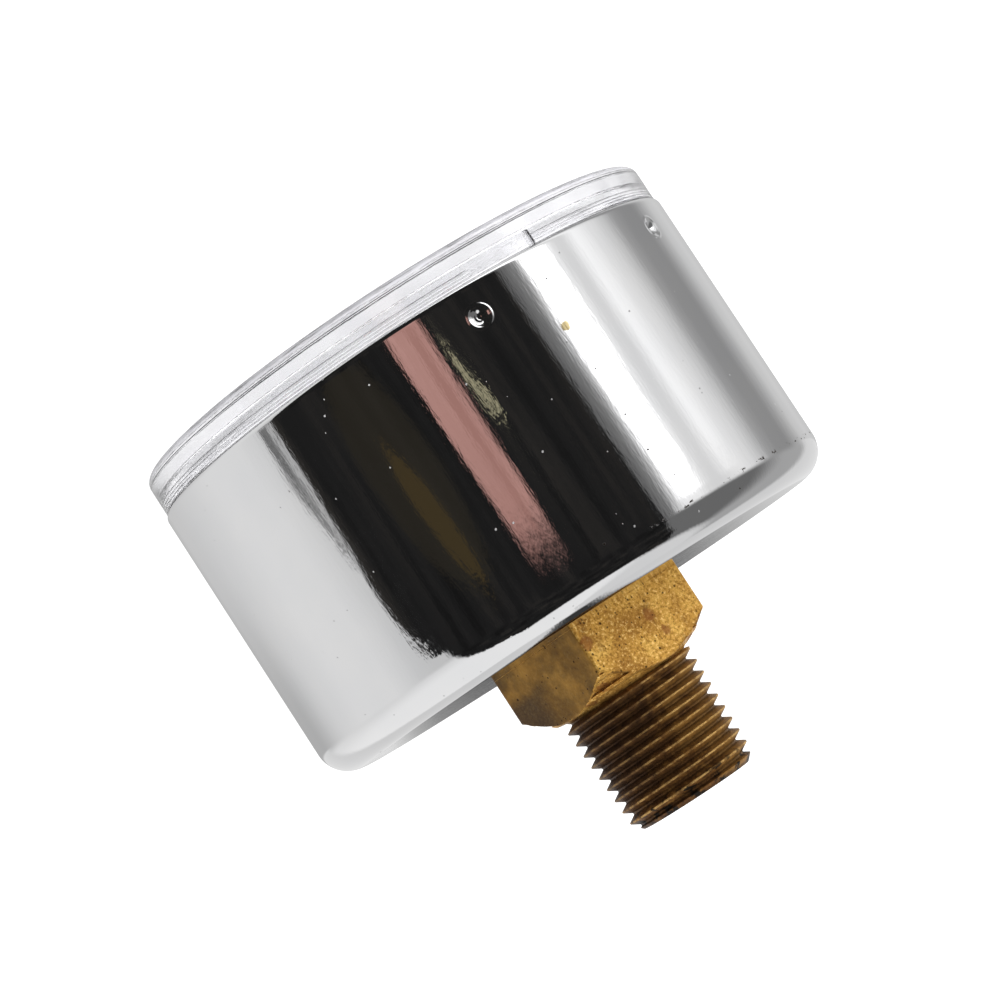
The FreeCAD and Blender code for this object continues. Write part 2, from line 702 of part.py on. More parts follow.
# ---------------------------------------------------------------- build
def main():
    save("case", make_case())
    save("lens", make_lens())
    save("stem", make_stem())
    save("restrictor_screw", make_restrictor())
    save("lock_washer", make_lock_washer())
    save("element_holder", make_holder())
    save("passage_plug", make_passage_plug())
    save("bourdon_tube", make_tube())
    save("tube_tip", make_tube_tip())
    save("tip_pin", make_pin(*tip_pin_xz()))
    save("link", make_link())
    save("tail_pin", make_pin(*tail_pin_xz()))
    save("sector_gear", make_sector_gear())
    save("sector_arbor", make_sector_arbor())
    save("pinion_shaft", make_pinion_shaft())
    save("hairspring_collet", make_collet())
    save("hairspring", make_hairspring())
    save("hairspring_stud", make_stud())
    save("bottom_plate", make_bottom_plate())
    save("top_plate", make_top_plate())
    save("movement_pillars", make_pillars())
    save("movement_screws", make_movement_screws())
    save("dial_posts", make_dial_posts())
    save("dial_screws", make_dial_screws())
    save("dial", make_dial())
    save("stop_pin", make_stop_pin())
    save("pointer", make_pointer())
    save("pointer_hub", make_pointer_hub())
    for row in SAVED:
        print("%-20s solids %d  volume %10.3f  valid %s" % row)
    print("tail pin %.3f %.3f" % tail_pin_xz())
    print("tip pin %.3f %.3f" % tip_pin_xz())


main()
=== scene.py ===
import math

import bpy
import numpy as np
from mathutils import Matrix, Vector


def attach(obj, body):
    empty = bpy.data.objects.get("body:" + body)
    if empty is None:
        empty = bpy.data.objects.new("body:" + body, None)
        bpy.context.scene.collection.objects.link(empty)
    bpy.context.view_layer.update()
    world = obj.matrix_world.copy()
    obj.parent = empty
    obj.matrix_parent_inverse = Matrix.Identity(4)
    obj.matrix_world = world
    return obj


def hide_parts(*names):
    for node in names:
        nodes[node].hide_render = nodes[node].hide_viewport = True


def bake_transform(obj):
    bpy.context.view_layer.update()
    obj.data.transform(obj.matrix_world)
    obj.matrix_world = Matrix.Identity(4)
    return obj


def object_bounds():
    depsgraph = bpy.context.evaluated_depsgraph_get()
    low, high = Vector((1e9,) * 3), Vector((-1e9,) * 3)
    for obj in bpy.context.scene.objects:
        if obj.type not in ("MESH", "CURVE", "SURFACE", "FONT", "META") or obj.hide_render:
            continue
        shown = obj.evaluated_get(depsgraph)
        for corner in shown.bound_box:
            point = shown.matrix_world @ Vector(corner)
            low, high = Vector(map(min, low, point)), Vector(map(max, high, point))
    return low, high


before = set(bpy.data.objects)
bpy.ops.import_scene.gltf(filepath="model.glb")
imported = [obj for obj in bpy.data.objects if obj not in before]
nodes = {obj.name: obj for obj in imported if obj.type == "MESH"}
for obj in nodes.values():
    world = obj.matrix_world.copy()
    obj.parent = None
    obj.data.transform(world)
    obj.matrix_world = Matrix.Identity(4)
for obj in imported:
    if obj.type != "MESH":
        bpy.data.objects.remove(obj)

cad_lo, cad_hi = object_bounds()
MM = 0.001


# ------------------------------------------------------------------ node helpers
class Mat:
    """A small helper round one node material with a Principled shader."""

    def __init__(self, name):
        self.m = bpy.data.materials.new(name)
        self.m.use_nodes = True
        self.t = self.m.node_tree
        self.bsdf = next(n for n in self.t.nodes if n.type == "BSDF_PRINCIPLED")
        self.out = next(n for n in self.t.nodes if n.type == "OUTPUT_MATERIAL")
        self._xyz = None

    def node(self, kind, **values):
        n = self.t.nodes.new(kind)
        for k, v in values.items():
            setattr(n, k, v)
        return n

    def link(self, a, b):
        self.t.links.new(a, b)

    def set(self, **values):
        for k, v in values.items():
            self.bsdf.inputs[k.replace("_", " ")].default_value = v

    def coords(self):
        if self._xyz is None:
            self._xyz = self.node("ShaderNodeTexCoord").outputs["Object"]
        return self._xyz

    def mapped(self, scale=(1, 1, 1), rotation=(0, 0, 0), location=(0, 0, 0)):
        m = self.node("ShaderNodeMapping")
        m.inputs["Scale"].default_value = scale
        m.inputs["Rotation"].default_value = rotation
        m.inputs["Location"].default_value = location
        self.link(self.coords(), m.inputs["Vector"])
        return m.outputs["Vector"]

    def noise(self, size_mm, detail=3.0, rough=0.55, stretch=(1, 1, 1), shift=(0, 0, 0), distortion=0.0):
        n = self.node("ShaderNodeTexNoise")
        n.inputs["Scale"].default_value = 1.0 / (size_mm * MM)
        n.inputs["Detail"].default_value = detail
        n.inputs["Roughness"].default_value = rough
        n.inputs["Distortion"].default_value = distortion
        self.link(self.mapped(stretch, location=shift), n.inputs["Vector"])
        return n.outputs["Fac"]

    def voronoi(self, size_mm, feature="F1", stretch=(1, 1, 1), shift=(0, 0, 0), out="Distance"):
        n = self.node("ShaderNodeTexVoronoi")
        n.feature = feature
        n.inputs["Scale"].default_value = 1.0 / (size_mm * MM)
        self.link(self.mapped(stretch, location=shift), n.inputs["Vector"])
        return n.outputs[out]

    def cells(self, size_mm, shift=(0, 0, 0)):
        """Distance to the nearest cell's centre, and three random numbers of that cell."""
        n = self.node("ShaderNodeTexVoronoi")
        n.inputs["Scale"].default_value = 1.0 / (size_mm * MM)
        self.link(self.mapped(location=shift), n.inputs["Vector"])
        c = self.node("ShaderNodeSeparateColor")
        self.link(n.outputs["Color"], c.inputs[0])
        return n.outputs["Distance"], c.outputs

    def ramp(self, fac, stops, interpolation="LINEAR"):
        r = self.node("ShaderNodeValToRGB")
        r.color_ramp.interpolation = interpolation
        el = r.color_ramp.elements
        while len(el) > 1:
            el.remove(el[-1])
        for i, (pos, col) in enumerate(stops):
            e = el[0] if i == 0 else el.new(pos)
            e.position = pos
            if isinstance(col, (int, float)):
                col = (col, col, col)
            e.color = (col[0], col[1], col[2], 1.0)
        self.link(fac, r.inputs["Fac"])
        return r.outputs["Color"]

    def mix(self, fac, a, b, blend="MIX"):
        n = self.node("ShaderNodeMix")
        n.data_type = "RGBA"
        n.blend_type = blend
        n.clamp_factor = True
        self._feed(n.inputs[0], fac)
        self._feed(n.inputs[6], a)
        self._feed(n.inputs[7], b)
        return n.outputs[2]

    def math(self, op, a, b=0.5, c=0.5, clamp=False):
        n = self.node("ShaderNodeMath")
        n.operation = op
        n.use_clamp = clamp
        self._feed(n.inputs[0], a)
        self._feed(n.inputs[1], b)
        if len(n.inputs) > 2:
            self._feed(n.inputs[2], c)
        return n.outputs[0]

    def span(self, value, lo, hi, out_lo=0.0, out_hi=1.0):
        n = self.node("ShaderNodeMapRange")
        n.interpolation_type = "SMOOTHSTEP"
        self.link(value, n.inputs["Value"])
        n.inputs["From Min"].default_value = lo
        n.inputs["From Max"].default_value = hi
        n.inputs["To Min"].default_value = out_lo
        n.inputs["To Max"].default_value = out_hi
        return n.outputs["Result"]

    def _feed(self, socket, v):
        if isinstance(v, (int, float)):
            socket.default_value = v
        elif isinstance(v, (tuple, list)):
            socket.default_value = (v[0], v[1], v[2], 1.0)
        else:
            self.link(v, socket)

    def split(self):
        n = self.node("ShaderNodeSeparateXYZ")
        self.link(self.coords(), n.inputs[0])
        return n.outputs

    def bump(self, height, distance_mm, strength=1.0, normal=None):
        n = self.node("ShaderNodeBump")
        n.inputs["Distance"].default_value = distance_mm * MM
        n.inputs["Strength"].default_value = strength
        self.link(height, n.inputs["Height"])
        if normal is not None:
            self.link(normal, n.inputs["Normal"])
        return n.outputs["Normal"]

    def plug(self, socket, value):
        self.link(value, self.bsdf.inputs[socket])


# ------------------------------------------------------------------ materials
def chrome_case():
    m = Mat("plated_steel_case")
    m.set(Metallic=1.0)
    xyz = m.split()
    x, y = xyz[0], xyz[1]
    # rust pits, denser near the rear corner and the front rim
    cells, keep = m.cells(0.95)
    rear = m.span(y, -0.0215, -0.0165, 0.0, 1.0)
    side = m.span(x, -0.0060, -0.0120, 0.25, 1.0)
    front = m.span(y, -0.0342, -0.0358, 0.0, 1.0)
    zone = m.math("MAXIMUM", m.math("MULTIPLY", rear, side), m.math("MULTIPLY", front, 0.35))
    limit = m.math("MULTIPLY_ADD", zone, 0.085, 0.016)
    chosen = m.math("LESS_THAN", keep[0], limit)
    wob = m.noise(0.10, 2.0)
    edge = m.math("ADD", cells, m.math("MULTIPLY", m.math("SUBTRACT", wob, 0.5), 0.12))
    size = m.math("MULTIPLY_ADD", keep[1], 0.070, 0.030)
    pits = m.math("MULTIPLY", chosen, m.span(m.math("SUBTRACT", size, edge), -0.02, 0.03))
    # painted reflection: a thin dashed dark line where the rear corner starts, on the -X side, stands in for a
    # reflected dark edge
    painted_reflection_line = m.math("MULTIPLY", m.span(y, -0.01678, -0.01664), m.span(y, -0.01638, -0.01652))
    dash = m.span(m.noise(0.8, 4.0, 0.7, stretch=(1.0, 2.0, 1.0), shift=(0.4, 0.2, 0.1)), 0.545, 0.60)
    painted_reflection_line = m.math("MULTIPLY", m.math("MULTIPLY", painted_reflection_line, dash), m.span(x, -0.0045, -0.0085))
    # rust pits together with the painted reflection line
    pits_and_painted_line = m.math("MAXIMUM", pits, painted_reflection_line)
    haze = m.noise(5.5, 2.0, 0.6)
    metal = m.ramp(haze, [(0.30, (0.675, 0.677, 0.685)), (0.70, (0.700, 0.698, 0.700))])
    # dark rust tone, also the tone of the painted reflection line
    rust_and_painted_line_tone = m.ramp(wob, [(0.35, (0.012, 0.010, 0.009)), (0.75, (0.10, 0.055, 0.03))])
    # one small olive brown smudge on the wall
    away = m.node("ShaderNodeVectorMath")
    away.operation = "DISTANCE"
    m.link(m.coords(), away.inputs[0])
    away.inputs[1].default_value = (-9.46 * MM, -30.55 * MM, 18.24 * MM)
    reach = m.math("MULTIPLY_ADD", m.math("SUBTRACT", m.noise(0.25, 2.0), 0.5), 0.00045, away.outputs["Value"])
    smudge = m.span(reach, 0.00042, 0.00026)
    col = m.mix(pits_and_painted_line, metal, rust_and_painted_line_tone)
    m.plug("Base Color", m.mix(m.math("MULTIPLY", smudge, 0.85), col, (0.23, 0.165, 0.030)))
    smear = m.noise(1.8, 3.0, 0.65, stretch=(1.0, 0.40, 1.0))
    rough = m.span(smear, 0.35, 0.75, 0.018, 0.050)
    m.plug("Roughness", m.math("MAXIMUM", rough, m.math("MULTIPLY", pits_and_painted_line, 0.75)))
    # plating ripple, drawn out along the axis, in three sizes
    fine = m.noise(0.17, 2.0, 0.6, stretch=(1.0, 0.20, 1.0))
    n1 = m.bump(fine, 0.0026)
    ripple = m.noise(0.55, 2.0, 0.5, stretch=(1.0, 0.18, 1.0), shift=(0.0, 0.03, 0.0))
    n2 = m.bump(ripple, 0.0032, normal=n1)
    wave = m.noise(3.4, 1.0, 0.4, stretch=(1.0, 0.34, 1.0), shift=(0.02, 0.0, 0.05))
    n3 = m.bump(wave, 0.015, normal=n2)
    # dust nibs and pin holes that throw light the other way
    nib, nk = m.cells(0.58, (0.31, 0.12, 0.75))
    nibs = m.math("MULTIPLY", m.math("LESS_THAN", nk[0], 0.075), m.span(nib, 0.13, 0.03))
    m.plug("Normal", m.bump(nibs, 0.050, normal=n3))
    return m.m


def brass_stem():
    m = Mat("tarnished_brass")
    m.set(Metallic=0.66, Specular_IOR_Level=0.12)
    xyz = m.split()
    x, y, z = xyz[0], xyz[1], xyz[2]
    rho = m.math("SQRT", m.math("ADD", m.math("MULTIPLY", x, x), m.math("MULTIPLY", z, z)))
    # depth under the thread's crest cone, in metres
    crest = m.math("MULTIPLY_ADD", y, -1.0 / 32.0, 4.95 * MM)
    depth = m.math("SUBTRACT", crest, rho)
    threaded = m.span(y, -0.00930, -0.00870)
    # bright golden metal with brown patina
    big = m.noise(2.2, 5.0, 0.62)
    gold = m.ramp(big, [(0.30, (0.35, 0.165, 0.034)), (0.50, (0.56, 0.30, 0.062)),
                        (0.70, (0.72, 0.43, 0.100))])
    speck = m.noise(0.22, 4.0, 0.7, shift=(0.1, 0.2, 0.3))
    gold = m.mix(m.span(speck, 0.50, 0.62, 0.0, 0.72), gold, (0.21, 0.092, 0.018))
    gold = m.mix(m.span(speck, 0.46, 0.34, 0.0, 0.80), gold, (0.92, 0.63, 0.22))
    spots, sk = m.cells(1.7, (0.2, 0.6, 0.1))
    spot_edge = m.math("ADD", spots, m.math("MULTIPLY", m.math("SUBTRACT", m.noise(0.5, 3.0), 0.5), 0.30))
    blot = m.math("MULTIPLY", m.math("LESS_THAN", sk[0], 0.42), m.span(spot_edge, 0.36, 0.24))
    gold = m.mix(m.math("MULTIPLY", blot, 0.72), gold, (0.25, 0.090, 0.026))
    stain = m.span(m.noise(1.5, 4.0, 0.6, shift=(0.5, 0.0, 0.1)), 0.58, 0.74, 0.0, 0.6)
    gold = m.mix(stain, gold, (0.16, 0.072, 0.020))
    # the block face turned towards +X and up is darker, a dull olive brown, picked by its facing
    nrm = m.node("ShaderNodeNewGeometry").outputs["True Normal"]
    dot = m.node("ShaderNodeVectorMath")
    dot.operation = "DOT_PRODUCT"
    m.link(nrm, dot.inputs[0])
    dot.inputs[1].default_value = (math.cos(math.radians(37.7)), 0.0, math.sin(math.radians(37.7)))
    plus_x_face = m.math("MULTIPLY", m.span(dot.outputs["Value"], 0.78, 0.94), m.math("SUBTRACT", 1.0, threaded))
    dull = m.ramp(m.noise(2.8, 4.0, 0.6, shift=(0.9, 0.1, 0.3)),
                  [(0.34, (0.060, 0.030, 0.008)), (0.50, (0.150, 0.076, 0.014)), (0.66, (0.30, 0.155, 0.028))])
    toe = m.math("MULTIPLY", m.span(y, -0.0127, -0.0116), m.span(x, 0.0040, 0.0062))
    dull = m.mix(m.math("MULTIPLY", toe, 0.95), dull, (0.034, 0.020, 0.012))
    gold = m.mix(m.math("MULTIPLY", plus_x_face, 0.92), gold, dull)
    # thread: brown flanks, black brown on one side, golden on the other
    drift = m.math("MULTIPLY", m.math("SUBTRACT", m.noise(2.4, 4.0, 0.6, shift=(0.3, 0.3, 0.8)), 0.5), 0.011)
    across = m.math("ADD", x, drift)
    flank = m.ramp(m.noise(0.55, 4.0, 0.65), [(0.32, (0.070, 0.030, 0.011)), (0.52, (0.150, 0.068, 0.020)),
                                             (0.70, (0.31, 0.155, 0.040))])
    # the thread is darker, black brown, on the +X side, fading out near the end
    plus_x_side_tone = m.ramp(m.noise(0.7, 3.0, 0.6), [(0.35, (0.030, 0.016, 0.011)), (0.65, (0.110, 0.055, 0.024))])
    plus_x_side = m.math("MULTIPLY", m.span(across, -0.0022, 0.0022), m.span(y, -0.0012, -0.0030))
    flank = m.mix(m.math("MULTIPLY", plus_x_side, 0.85), flank, plus_x_side_tone)
    side = m.span(across, -0.0010, -0.0036)
    flank = m.mix(m.math("MULTIPLY", side, 0.40), flank, (0.46, 0.25, 0.062))
    root = m.span(depth, 0.00030, 0.00052)
    flank = m.mix(m.math("MULTIPLY", root, 0.55), flank, (0.030, 0.015, 0.008))
    # painted highlight: a bright gold line along the thread crests, in patches, weaker on the +X side
    crest_highlight_patches = m.span(m.noise(0.7, 4.0, 0.65, shift=(0.2, 0.9, 0.4)), 0.40, 0.60)
    crest_highlight = m.math("MULTIPLY", m.span(depth, 0.00005, 0.00001), m.math("MULTIPLY_ADD", crest_highlight_patches, 0.62, 0.06))
    crest_highlight = m.math("MULTIPLY", crest_highlight, m.math("MULTIPLY_ADD", plus_x_side, -0.65, 1.0))
    flank = m.mix(crest_highlight, flank, (0.66, 0.42, 0.15))
    end = m.span(y, -0.0016, -0.0009)
    flank = m.mix(m.math("MULTIPLY", end, m.span(m.noise(0.9, 3.0, shift=(0.6, 0.2, 0.9)), 0.48, 0.60)), flank,
                  (0.014, 0.010, 0.007))
    col = m.mix(threaded, gold, flank)
    # pits
    pit, psep = m.cells(0.30, (0.7, 0.3, 0.2))
    crowd = m.span(m.noise(2.0, 2.0, shift=(0.1, 0.8, 0.2)), 0.40, 0.58, 0.14, 0.55)
    density = m.math("MULTIPLY", crowd, m.math("MULTIPLY_ADD", plus_x_face, -0.75, 1.0))
    pits = m.math("MULTIPLY", m.math("LESS_THAN", psep[0], density),
                  m.span(m.math("SUBTRACT", m.math("MULTIPLY_ADD", psep[1], 0.22, 0.14), pit), -0.02, 0.06))
    pits = m.math("MULTIPLY", pits, m.math("SUBTRACT", 1.0, m.math("MULTIPLY", threaded, 0.8)))
    col = m.mix(m.math("MULTIPLY", pits, 0.80), col, (0.050, 0.024, 0.010))
    m.plug("Base Color", col)
    r = m.span(big, 0.3, 0.75, 0.46, 0.32)
    r = m.math("MAXIMUM", r, m.math("MULTIPLY", threaded, 0.48))
    m.plug("Roughness", m.math("MAXIMUM", r, m.math("MULTIPLY", pits, 0.8)))
    smoother = m.math("MULTIPLY_ADD", plus_x_face, -0.6, 1.0)
    h = m.math("SUBTRACT", m.math("MULTIPLY", m.math("MULTIPLY", speck, -1.4), smoother), pits)
    n1 = m.bump(h, 0.026)
    m.plug("Normal", m.bump(m.noise(0.8, 3.0), 0.03, normal=n1))
    return m.m


def brass_inner(name="machined_brass", tint=(0.72, 0.50, 0.20)):
    m = Mat(name)
    m.set(Metallic=1.0)
    n = m.noise(1.6, 4.0, 0.6)
    lo = tuple(c * 0.78 for c in tint)
    hi = tuple(min(1.0, c * 1.12) for c in tint)
    m.plug("Base Color", m.ramp(n, [(0.3, lo), (0.7, hi)]))
    g = m.noise(0.12, 2.0, 0.5, stretch=(1.0, 0.12, 1.0))
    m.plug("Roughness", m.span(g, 0.3, 0.7, 0.22, 0.36))
    m.plug("Normal", m.bump(g, 0.0016))
    return m.m


def steel(name="turned_steel", tint=(0.56, 0.565, 0.58)):
    m = Mat(name)
    m.set(Metallic=1.0)
    g = m.noise(0.10, 3.0, 0.6, stretch=(1.0, 0.2, 1.0))
    m.plug("Base Color", m.ramp(m.noise(0.9, 3.0), [(0.3, tuple(c * 0.8 for c in tint)), (0.7, tint)]))
    m.plug("Roughness", m.span(g, 0.3, 0.7, 0.20, 0.34))
    m.plug("Normal", m.bump(g, 0.0015))
    return m.m


def lens_window():
    m = Mat("clear_lens_window")
    m.set(Transmission_Weight=1.0, IOR=1.49)
    haze = m.noise(6.0, 4.0, 0.6)
    m.plug("Base Color", m.ramp(haze, [(0.3, (0.975, 0.98, 0.98)), (0.7, (0.99, 0.99, 0.99))]))
    scr = m.noise(0.5, 4.0, 0.7, stretch=(0.25, 1.0, 1.0))
    m.plug("Roughness", m.span(scr, 0.55, 0.85, 0.012, 0.06))
    m.plug("Normal", m.bump(m.noise(2.5, 2.0), 0.0006))
    return m.m


def lens_flange():
    m = Mat("moulded_lens_flange")
    m.set(IOR=1.49)
    cloud = m.noise(2.4, 4.0, 0.6)
    xyz = m.split()
    x, y, z = xyz[0], xyz[1], xyz[2]
    rho = m.math("SQRT", m.math("ADD", m.math("MULTIPLY", x, x), m.math("MULTIPLY", z, z)))
    lines = m.noise(0.10, 3.0, 0.7, stretch=(0.06, 1.0, 0.06))
    # painted refraction: a grey band on the outer part of the rounded front edge, broken up by the fine lines, stands
    # in for the refracted view through that edge; it also lowers transmission and roughens the surface there
    painted_refraction_band = m.math("MULTIPLY", m.span(y, -0.03852, -0.03868), m.span(lines, 0.30, 0.62, 0.25, 1.0))
    painted_refraction_band = m.math("MULTIPLY", painted_refraction_band, m.span(rho, 19.66 * MM, 20.06 * MM))
    clear = m.ramp(cloud, [(0.3, (0.935, 0.93, 0.965)), (0.7, (0.965, 0.965, 0.98))])
    m.plug("Base Color", m.mix(painted_refraction_band, clear, (0.66, 0.655, 0.70)))
    m.plug("Transmission Weight", m.math("SUBTRACT", m.span(cloud, 0.35, 0.70, 0.97, 0.88),
                                         m.math("MULTIPLY", painted_refraction_band, 0.62)))
    m.plug("Roughness", m.math("MAXIMUM", m.span(lines, 0.35, 0.75, 0.03, 0.12), m.math("MULTIPLY", painted_refraction_band, 0.22)))
    n1 = m.bump(m.noise(1.3, 3.0, 0.6, stretch=(0.5, 1.0, 0.5)), 0.010)
    m.plug("Normal", m.bump(lines, 0.0028, normal=n1))
    return m.m


def dial_white():
    m = Mat("dial_face")
    m.plug("Base Color", m.ramp(m.noise(7.0, 3.0), [(0.3, (0.80, 0.80, 0.785)), (0.7, (0.86, 0.86, 0.85))]))
    g = m.noise(0.18, 3.0, 0.6)
    m.plug("Roughness", m.span(g, 0.3, 0.7, 0.38, 0.52))
    m.plug("Normal", m.bump(g, 0.002))
    return m.m


def paint(name, lo, hi, r0=0.35, r1=0.5):
    m = Mat(name)
    m.plug("Base Color", m.ramp(m.noise(1.5, 3.0), [(0.3, lo), (0.7, hi)]))
    g = m.noise(0.15, 3.0, 0.6)
    m.plug("Roughness", m.span(g, 0.3, 0.7, r0, r1))
    m.plug("Normal", m.bump(g, 0.0015))
    return m.m


M_CASE = chrome_case()
M_STEM = brass_stem()
M_BRASS = brass_inner()
M_TUBE = brass_inner("drawn_tube_brass", (0.66, 0.44, 0.17))
M_STEEL = steel()
M_SPRING = steel("spring_strip", (0.42, 0.43, 0.47))
M_WINDOW = lens_window()
M_FLANGE = lens_flange()
M_DIAL = dial_white()
M_POINTER = paint("pointer_black", (0.008, 0.008, 0.009), (0.018, 0.018, 0.018))
M_INK = paint("dial_ink_black", (0.010, 0.010, 0.012), (0.022, 0.022, 0.024), 0.45, 0.6)
M_RED = paint("dial_ink_red", (0.42, 0.018, 0.014), (0.52, 0.030, 0.022), 0.45, 0.6)

BY_NODE = {
    "case": M_CASE, "lens": M_WINDOW, "stem": M_STEM, "dial": M_DIAL, "pointer": M_POINTER,
    "bourdon_tube": M_TUBE, "hairspring": M_SPRING,
}
STEEL_NODES = ("lock_washer", "tip_pin", "tail_pin", "sector_arbor", "pinion_shaft",
               "movement_screws", "dial_screws")
for name, obj in nodes.items():
    mat = BY_NODE.get(name) or (M_STEEL if name in STEEL_NODES else M_BRASS)
    obj.data.materials.clear()
    obj.data.materials.append(mat)


# ------------------------------------------------------------------ mesh helpers
def grid_mesh(name, rows, wrap_rows=True, mats=(), mat_of_row=None, sharp=None):
    """A surface from rows of points, each row a closed ring (n x 3 array, metres)."""
    rows = np.asarray(rows, float)
    nr, ns = rows.shape[:2]
    verts = rows.reshape(-1, 3)
    last = nr if wrap_rows else nr - 1
    i = np.arange(last)[:, None]
    j = np.arange(ns)[None, :]
    i2, j2 = (i + 1) % nr, (j + 1) % ns
    a = i * ns + j
    b = i * ns + j2
    c = i2 * ns + j2
    d = i2 * ns + j
    faces = np.stack(np.broadcast_arrays(a, b, c, d), -1).reshape(-1, 4)
    me = bpy.data.meshes.new(name)
    me.vertices.add(len(verts))
    me.vertices.foreach_set("co", verts.astype(np.float32).ravel())
    me.loops.add(faces.size)
    me.loops.foreach_set("vertex_index", faces.astype(np.int32).ravel())
    me.polygons.add(len(faces))
    me.polygons.foreach_set("loop_start", (np.arange(len(faces)) * 4).astype(np.int32))
    if mat_of_row is not None:
        me.polygons.foreach_set("material_index", np.repeat(np.asarray(mat_of_row, np.int32)[:last], ns))
    me.polygons.foreach_set("use_smooth", np.ones(len(faces), bool))
    me.update(calc_edges=True)
    me.validate()
    for m in mats:
        me.materials.append(m)
    if sharp:
        me.set_sharp_from_angle(angle=math.radians(sharp))
    ob = bpy.data.objects.new(name, me)
    bpy.context.scene.collection.objects.link(ob)
    return ob


def ring_xyz(r, w, y):
    """Points at radius r (array) and angle w about +Y from 12 o'clock, at height y, in mm."""
    return np.stack([r * np.sin(w), np.full_like(w, 1.0) * y, r * np.cos(w)], -1) * MM


def arc_pts(cx, cy, r, a0, a1, n):
    t = np.radians(np.linspace(a0, a1, n))
    return [(cx + r * math.cos(q), cy + r * math.sin(q)) for q in t]


def line_pts(a, b, n):
    return [(a[0] + (b[0] - a[0]) * t, a[1] + (b[1] - a[1]) * t) for t in np.linspace(0, 1, n)]


def joined(*parts):
    out = []
    for p in parts:
        for q in p:
            if not out or math.hypot(q[0] - out[-1][0], q[1] - out[-1][1]) > 1e-5:
                out.append(q)
    if math.hypot(out[0][0] - out[-1][0], out[0][1] - out[-1][1]) < 1e-5:
        out.pop()
    return out


def smooth(t):
    t = np.clip(t, 0.0, 1.0)
    return t * t * (3 - 2 * t)


# ------------------------------------------------------------------ case
CASE_R, CASE_T = 20.55, 0.50
Y_BACK, Y_RIM = -14.26, -36.28
DIMPLE_Y, DIMPLE_PHI, DIMPLE_REPEAT = -33.92, (14.5, 63.9), 2
LIP = 0.42


def ring_angles(base, centres, half, step):
    """Evenly spaced angles, with a finer run round each centre."""
    out = list(np.linspace(0, 2 * np.pi, base, endpoint=False))
    for c in centres:
        n = int(2 * half / step)
        out += [(c - half + 2 * half * k / n) % (2 * np.pi) for k in range(n + 1)]
    w = np.sort(np.array(out))
    keep = np.concatenate([[True], np.diff(w) > 0.0006])
    return w[keep]


def build_case():
    ri = CASE_R - CASE_T
    fo, fi = 2.35, 1.85
    yi = Y_BACK - CASE_T
    outer = joined(
        line_pts((3.60, Y_BACK), (CASE_R - fo, Y_BACK), 26),
        arc_pts(CASE_R - fo, Y_BACK - fo, fo, 90, 0, 30),
        line_pts((CASE_R, Y_BACK - fo), (CASE_R, -32.55), 26),
        line_pts((CASE_R, -32.55), (CASE_R, -35.29), 62),
        line_pts((CASE_R, -35.29), (CASE_R, Y_RIM + LIP), 5),
        arc_pts(CASE_R - LIP, Y_RIM + LIP, LIP, 0, -90, 11),
        line_pts((CASE_R - LIP, Y_RIM), (ri, Y_RIM), 2),
        line_pts((ri, Y_RIM), (ri, yi - fi), 60),
        arc_pts(ri - fi, yi - fi, fi, 0, 90, 10),
        line_pts((ri - fi, yi), (3.60, yi), 8),
        line_pts((3.60, yi), (3.60, Y_BACK), 2),
    )
    centres = [-math.radians(phi + 360.0 * k / DIMPLE_REPEAT)
               for k in range(DIMPLE_REPEAT) for phi in DIMPLE_PHI]
    w = ring_angles(720, centres, 1.30 / CASE_R, 0.045 / CASE_R)
    rows = []
    for rho, y in outer:
        r = np.full(len(w), float(rho))
        on_outer = rho > CASE_R - 0.01 and y < Y_BACK - 2.5
        on_inner = abs(rho - ri) < 1e-6 and y > Y_RIM
        if (on_outer or on_inner) and abs(y - DIMPLE_Y) < 1.36:
            for c in centres:
                dw = (w - c + np.pi) % (2 * np.pi) - np.pi
                dist = np.sqrt((dw * CASE_R) ** 2 + (y - DIMPLE_Y) ** 2)
                dish = 0.055 * (1 - smooth(dist / 0.92))
                punch = 0.265 * np.exp(-(dist / 0.40) ** 2.6)
                nub = 0.030 * np.exp(-(dist / 0.10) ** 2)
                r = r - dish - punch + (nub if on_outer else 0.0)
                if on_outer:
                    r = r + 0.040 * np.exp(-((dist - 0.80) / 0.085) ** 2)
        rows.append(ring_xyz(r, w, y))
    ob = grid_mesh("case_shell", rows, mats=[M_CASE], sharp=50)
    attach(ob, "housing")
    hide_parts("case")
    return ob


# ------------------------------------------------------------------ lens
LENS_R = 20.36


def dome(rho, edge_rho, crown, edge):
    sag = edge - crown
    ball = (edge_rho ** 2 + sag ** 2) / (2.0 * sag)
    return crown + ball - math.sqrt(ball ** 2 - rho ** 2)


